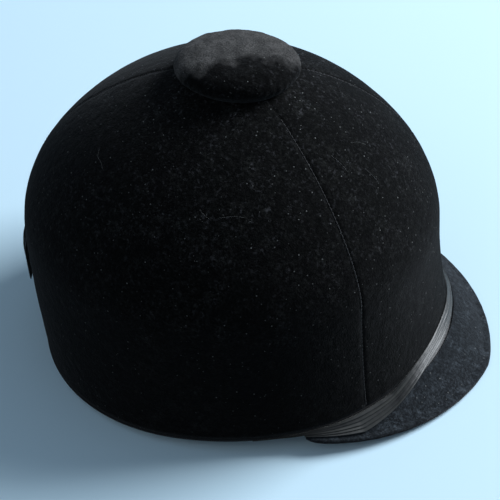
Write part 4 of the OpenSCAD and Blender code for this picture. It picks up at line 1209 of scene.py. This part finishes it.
def sideStrap(side, x0, name, node, body):
    end = math.copysign(harness["spread"], x0)
    mid = harness["loop"] - harness["thick"] / 2
    bend = harness["bend"]
    turn = harness["drop"] - 26
    slant = (end - x0) / (turn - bend)
    line = [(x0 + slant * (20 - bend), 20, 1.75), (x0 + slant * (12 - bend), 12, 1.75), (x0, 6, 1.95)]
    line += [(x0, mid * math.sin(t), mid * math.cos(t)) for t in degrees(spaced(0, -180, 12))]
    line += [(x0, 4, -1.5), (x0, bend, -0.2)]
    line += [(x0 + (end - x0) * (y - bend) / (turn - bend), y, 0) for y in spaced(12, turn, 16)]
    line += [(end, y, 0) for y in (turn + 2, turn + 8, harness["drop"] - 8)]
    centres = [hung(side, *p) for p in line]
    made = stripPiece(name, centres, Vector((1, 0, 0)), harness["width"], harness["thick"])
    dress(made, strapWeb, body, "webbing", node)

    def sewnAt(e, y):
        return hung(side, x0 + slant * max(0, y - bend) + e, y, harness["sewnUp"])

    half = harness["sewnHalf"]
    sewn = [[sewnAt(e, y) for e in spaced(-half, half, 8)] for y in (9, 17)]
    return sewn + [[sewnAt(e, y) for y in spaced(9, 17, 8)] for e in (-half, half)]


for side, word, body in ((-1, "right", "right_harness"), (1, "left", "left_harness")):
    rows = sideStrap(side, harness["frontX"], word + "_front_webbing", word + "_front_strap", body)
    rows += sideStrap(side, harness["rearX"], word + "_rear_webbing", word + "_rear_strap", body)
    stitches(word + "_strap_stitches", rows, body, spacing=2.8)
    easedCopy(word + "_divider", word + "_strap_divider", 0.5, bucklePlastic, body, "plastic")


def foldedStrap(side, length, h, name, node, body):
    mid = harness["loop"] - harness["thick"] / 2
    line = [(20, h - 1.7), (12, h - 1.7), (7, h - 1.9)] if h < 0 else []
    line += [(mid * math.sin(t), mid * math.cos(t)) for t in degrees(spaced(20, -180, 10))]
    line += [(mid * 0.7, -mid * 0.7), (mid, 0.3), (mid + 0.3, h * 0.5), (mid + 1.2, h * 0.85), (mid + 3.5, h)]
    line += [(u, h) for u in spaced(mid + 7, length, 14)]
    centres = [folded(side, 0, u, z) for u, z in line]
    made = stripPiece(name, centres, Vector((1, 0, 0)), harness["chinWidth"], harness["thick"])
    dress(made, strapWeb, body, "webbing", node)


foldedStrap(-1, harness["chinLength"], harness["chinH"], "chin_webbing", "chin_strap", "chin_harness")
foldedStrap(1, harness["shortLength"], harness["shortH"], "short_webbing", "short_strap", "short_harness")
easedCopy("buckle_socket", "buckle_socket_moulding", 0.6, bucklePlastic, "chin_harness", "plastic")
easedCopy("buckle_plug", "buckle_plug_moulding", 0.4, bucklePlastic, "short_harness", "plastic")
easedCopy("strap_adjuster", "strap_slider", 0.5, bucklePlastic, "adjuster", "plastic")
easedCopy("anchor_brackets", "anchor_bracket_mouldings", 0.4, bucklePlastic, "helmet", "plastic")

chinPad = {"low": 2.8, "high": 9.0, "wide": 24, "channels": (0.2, 0.5, 0.8), "channelWidth": 0.035}


def padSection(u):
    share = (u - harness["padStart"]) / harness["padLength"]
    pull = math.sqrt(max(0.02, 1 - (2 * share - 1) ** 8))
    wide = chinPad["channelWidth"]
    channel = 1 - 0.16 * max(math.exp(-((share - s) / wide) ** 2) for s in chinPad["channels"])
    middle = (chinPad["low"] + chinPad["high"]) / 2
    section = []
    for k in range(36):
        t = 2 * math.pi * k / 36
        x = math.copysign(abs(math.cos(t)) ** 0.55, math.cos(t)) * chinPad["wide"] / 2 * (0.94 + 0.06 * pull)
        z = math.copysign(abs(math.sin(t)) ** 0.7, math.sin(t))
        z = z * (chinPad["high"] - chinPad["low"]) / 2 * pull * channel
        section.append(folded(-1, x, u, middle + z))
    return section


padEnds = (harness["padStart"] + 0.2, harness["padStart"] + harness["padLength"] - 0.2)
chin = sweptPiece("chin_cushion", [padSection(u) for u in spaced(*padEnds, 70)])
dress(chin, bandLeather, "chin_harness", "sweatband_leather", "chin_pad")


# CAD nodes that keep their own shape

for nodeName, finish in (("button_core", cork), ("button_stud", steel), ("button_washer", steel),
        ("peak_plate", shellPlastic), ("peak_rivets", steel), ("nape_rivets", steel),
        ("anchor_rivets", steel), ("anchor_bars", steel)):
    kept = nodeObjects[nodeName]
    kept.data.materials.clear()
    kept.data.materials.append(finish)


# Lint on the velvet

print("lint")
lint = {"density": 3200, "length": 0.55, "radius": 0.05, "low": 30, "high": 170}
# Stray hairs on the crown, each as plan angles and rows of the crown that it lies over
hairs = {"radius": 0.045, "lift": 0.25, "steps": 8, "paths": (
    ((-139, 0.51), (-136.5, 0.525), (-132.5, 0.53), (-129.5, 0.54)),
    ((-76.5, 0.56), (-71.5, 0.555), (-67.5, 0.56)),
    ((-23.5, 0.46), (-22, 0.49), (-21.5, 0.53)),
    ((-13.5, 0.55), (-12.5, 0.585), (-12.5, 0.615)),
    ((-9.5, 0.47), (-6, 0.485), (-3.5, 0.51)),
    ((-84, 0.54), (-82, 0.555), (-80, 0.565)))}


def lintOn(source, name, seed, density):
    ground = link(bpy.data.objects.new(name + "_ground", source.data.copy()))
    bm = bmesh.new()
    bm.from_mesh(ground.data)
    hidden = []
    for face in bm.faces:
        middle = face.calc_center_median()
        if face.normal.dot(Vector((middle.x, middle.y, max(0, middle.z - 0.05)))) <= 0:
            hidden.append(face)
    bmesh.ops.delete(bm, geom=hidden, context="FACES")
    bm.to_mesh(ground.data)
    bm.free()
    sizes = {"Fibre length": lint["length"], "Fibre radius": lint["radius"],
        "Lowest": lint["low"], "Highest": lint["high"]}
    sizes = {key: value * millimetre for key, value in sizes.items()}
    made = runTree(lintOver, ground, {**sizes, "Density": density, "Seed": seed, "Fibre": lintFibre}, name)
    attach(made, "helmet")


for source, name, seed, share in ((panelFront, "lint_front", 11, 1), (panelLeft, "lint_left", 12, 1),
        (panelRight, "lint_right", 13, 1), (cap, "lint_button", 14, 0.6), (peakCover, "lint_peak", 15, 1.6)):
    lintOn(source, name, seed, lint["density"] * share)


# A smooth curve through four places in turn, at a share of the way from the second to the third
def curveAt(p, f):
    return 0.5 * (2 * p[1] + (p[2] - p[0]) * f + (2 * p[0] - 5 * p[1] + 4 * p[2] - p[3]) * f * f
        + (3 * p[1] - p[0] - 3 * p[2] + p[3]) * f ** 3)


def hairPiece(path):
    spots = [Vector((angle, row, 0)) for angle, row in path]
    line = []
    for i in range(len(spots) - 1):
        four = [spots[max(0, i - 1)], spots[i], spots[i + 1], spots[min(len(spots) - 1, i + 2)]]
        for k in range(hairs["steps"]):
            p = curveAt(four, k / hairs["steps"])
            above = hairs["lift"] + 0.15 * noise.noise(Vector((p.x, p.y * 40, 0)) / 2)
            line.append(easedCrownAt(math.radians(p.x), p.y, -above))
    ring = degrees(spaced(0, 360, 5)[:-1])
    sections = []
    for i, p in enumerate(line):
        tangent = (line[min(i + 1, len(line) - 1)] - line[max(i - 1, 0)]).normalized()
        side = tangent.cross(Vector((0, 0, 1))).normalized()
        rise = side.cross(tangent)
        sections.append([p + hairs["radius"] * (math.cos(t) * side + math.sin(t) * rise) for t in ring])
    return sweptPiece("hair", sections)


dress(joined([hairPiece(path) for path in hairs["paths"]], "stray_hairs"), lintFibre, "helmet", "velvet")


# Floor, light and camera

print("stage")
stage = {"size": 6000, "pale": "#d2eefb", "dark": "#15181b", "world": 0.27}
half = stage["size"] / 2
floorMesh = bpy.data.meshes.new("floor")
corners = [place(x * half, y * half, 0) for x, y in ((-1, -1), (1, -1), (1, 1), (-1, 1))]
floorMesh.from_pydata(corners, [], [(0, 1, 2, 3)])
floor = link(bpy.data.objects.new("floor", floorMesh))
# A pale floor for the eye, which gives little light back to the velvet
floorMaterial, floorTree = startMaterial("backdrop_paper")
rays = addNode(floorTree, "ShaderNodeLightPath").outputs
seen = mathOf(floorTree, "ADD", rays["Is Camera Ray"], rays["Is Glossy Ray"])
seen = mathOf(floorTree, "ADD", seen, rays["Is Transmission Ray"], clamp=True)
floorColour = colourMix(floorTree, seen, linear(stage["dark"]), linear(stage["pale"]))
endMaterial(floorTree, {"Base Color": floorColour}, Roughness=0.9, Specular_IOR_Level=0.05)
floorMesh.materials.append(floorMaterial)

world = bpy.data.worlds.new("room")
bpy.context.scene.world = world
world.use_nodes = True
world.node_tree.nodes["Background"].inputs["Color"].default_value = linear("#c4dcf6")
world.node_tree.nodes["Background"].inputs["Strength"].default_value = stage["world"]


def softLight(name, spot, aim, size, power, colour):
    data = bpy.data.lights.new(name, "AREA")
    data.energy, data.size, data.color = power, size, linear(colour)[:3]
    lamp = link(bpy.data.objects.new(name, data))
    lamp.location = spot
    lamp.rotation_euler = (Vector(aim) - Vector(spot)).to_track_quat("-Z", "Y").to_euler()


softLight("window", (1.6, 1.4, 1.6), (0, 0, 0.05), 1.5, 106, "#f2f8ff")
softLight("room_fill", (-0.4, -1.8, 1.6), (0, 0, 0.08), 1.5, 5, "#f4f4f0")

# The camera in degrees and mm, turned about the middle of the helmet
shot = {
    "azimuth": 19.5, "elevation": 40.35, "roll": -2.06, "distance": 1243.7, "focal": 2130, "right": 9.95,
    "up": -4.34, "targetZ": 57.6, "frame": 500, "sensor": 36,
}
azimuth, elevation, rolled = (math.radians(shot[k]) for k in ("azimuth", "elevation", "roll"))
back = Vector((math.sin(azimuth) * math.cos(elevation), -math.cos(azimuth) * math.cos(elevation),
    math.sin(elevation)))
right = Vector((math.cos(azimuth), math.sin(azimuth), 0))
up = back.cross(right)
aim = Vector((0, 0, shot["targetZ"]))
spot = (aim + right * shot["right"] + up * shot["up"] + back * shot["distance"]) * millimetre
rolledRight = right * math.cos(rolled) + up * math.sin(rolled)
rolledUp = up * math.cos(rolled) - right * math.sin(rolled)
lens = bpy.data.cameras.new("photo_camera")
lens.sensor_width = shot["sensor"]
lens.lens = shot["focal"] * shot["sensor"] / shot["frame"]
lens.clip_end = 20
camera = link(bpy.data.objects.new("photo_camera", lens))
turned = Matrix((rolledRight, rolledUp, back)).transposed().to_4x4()
turned.translation = spot
camera.matrix_world = turned
bpy.context.scene.camera = camera
bpy.context.scene.view_settings.view_transform = "Standard"
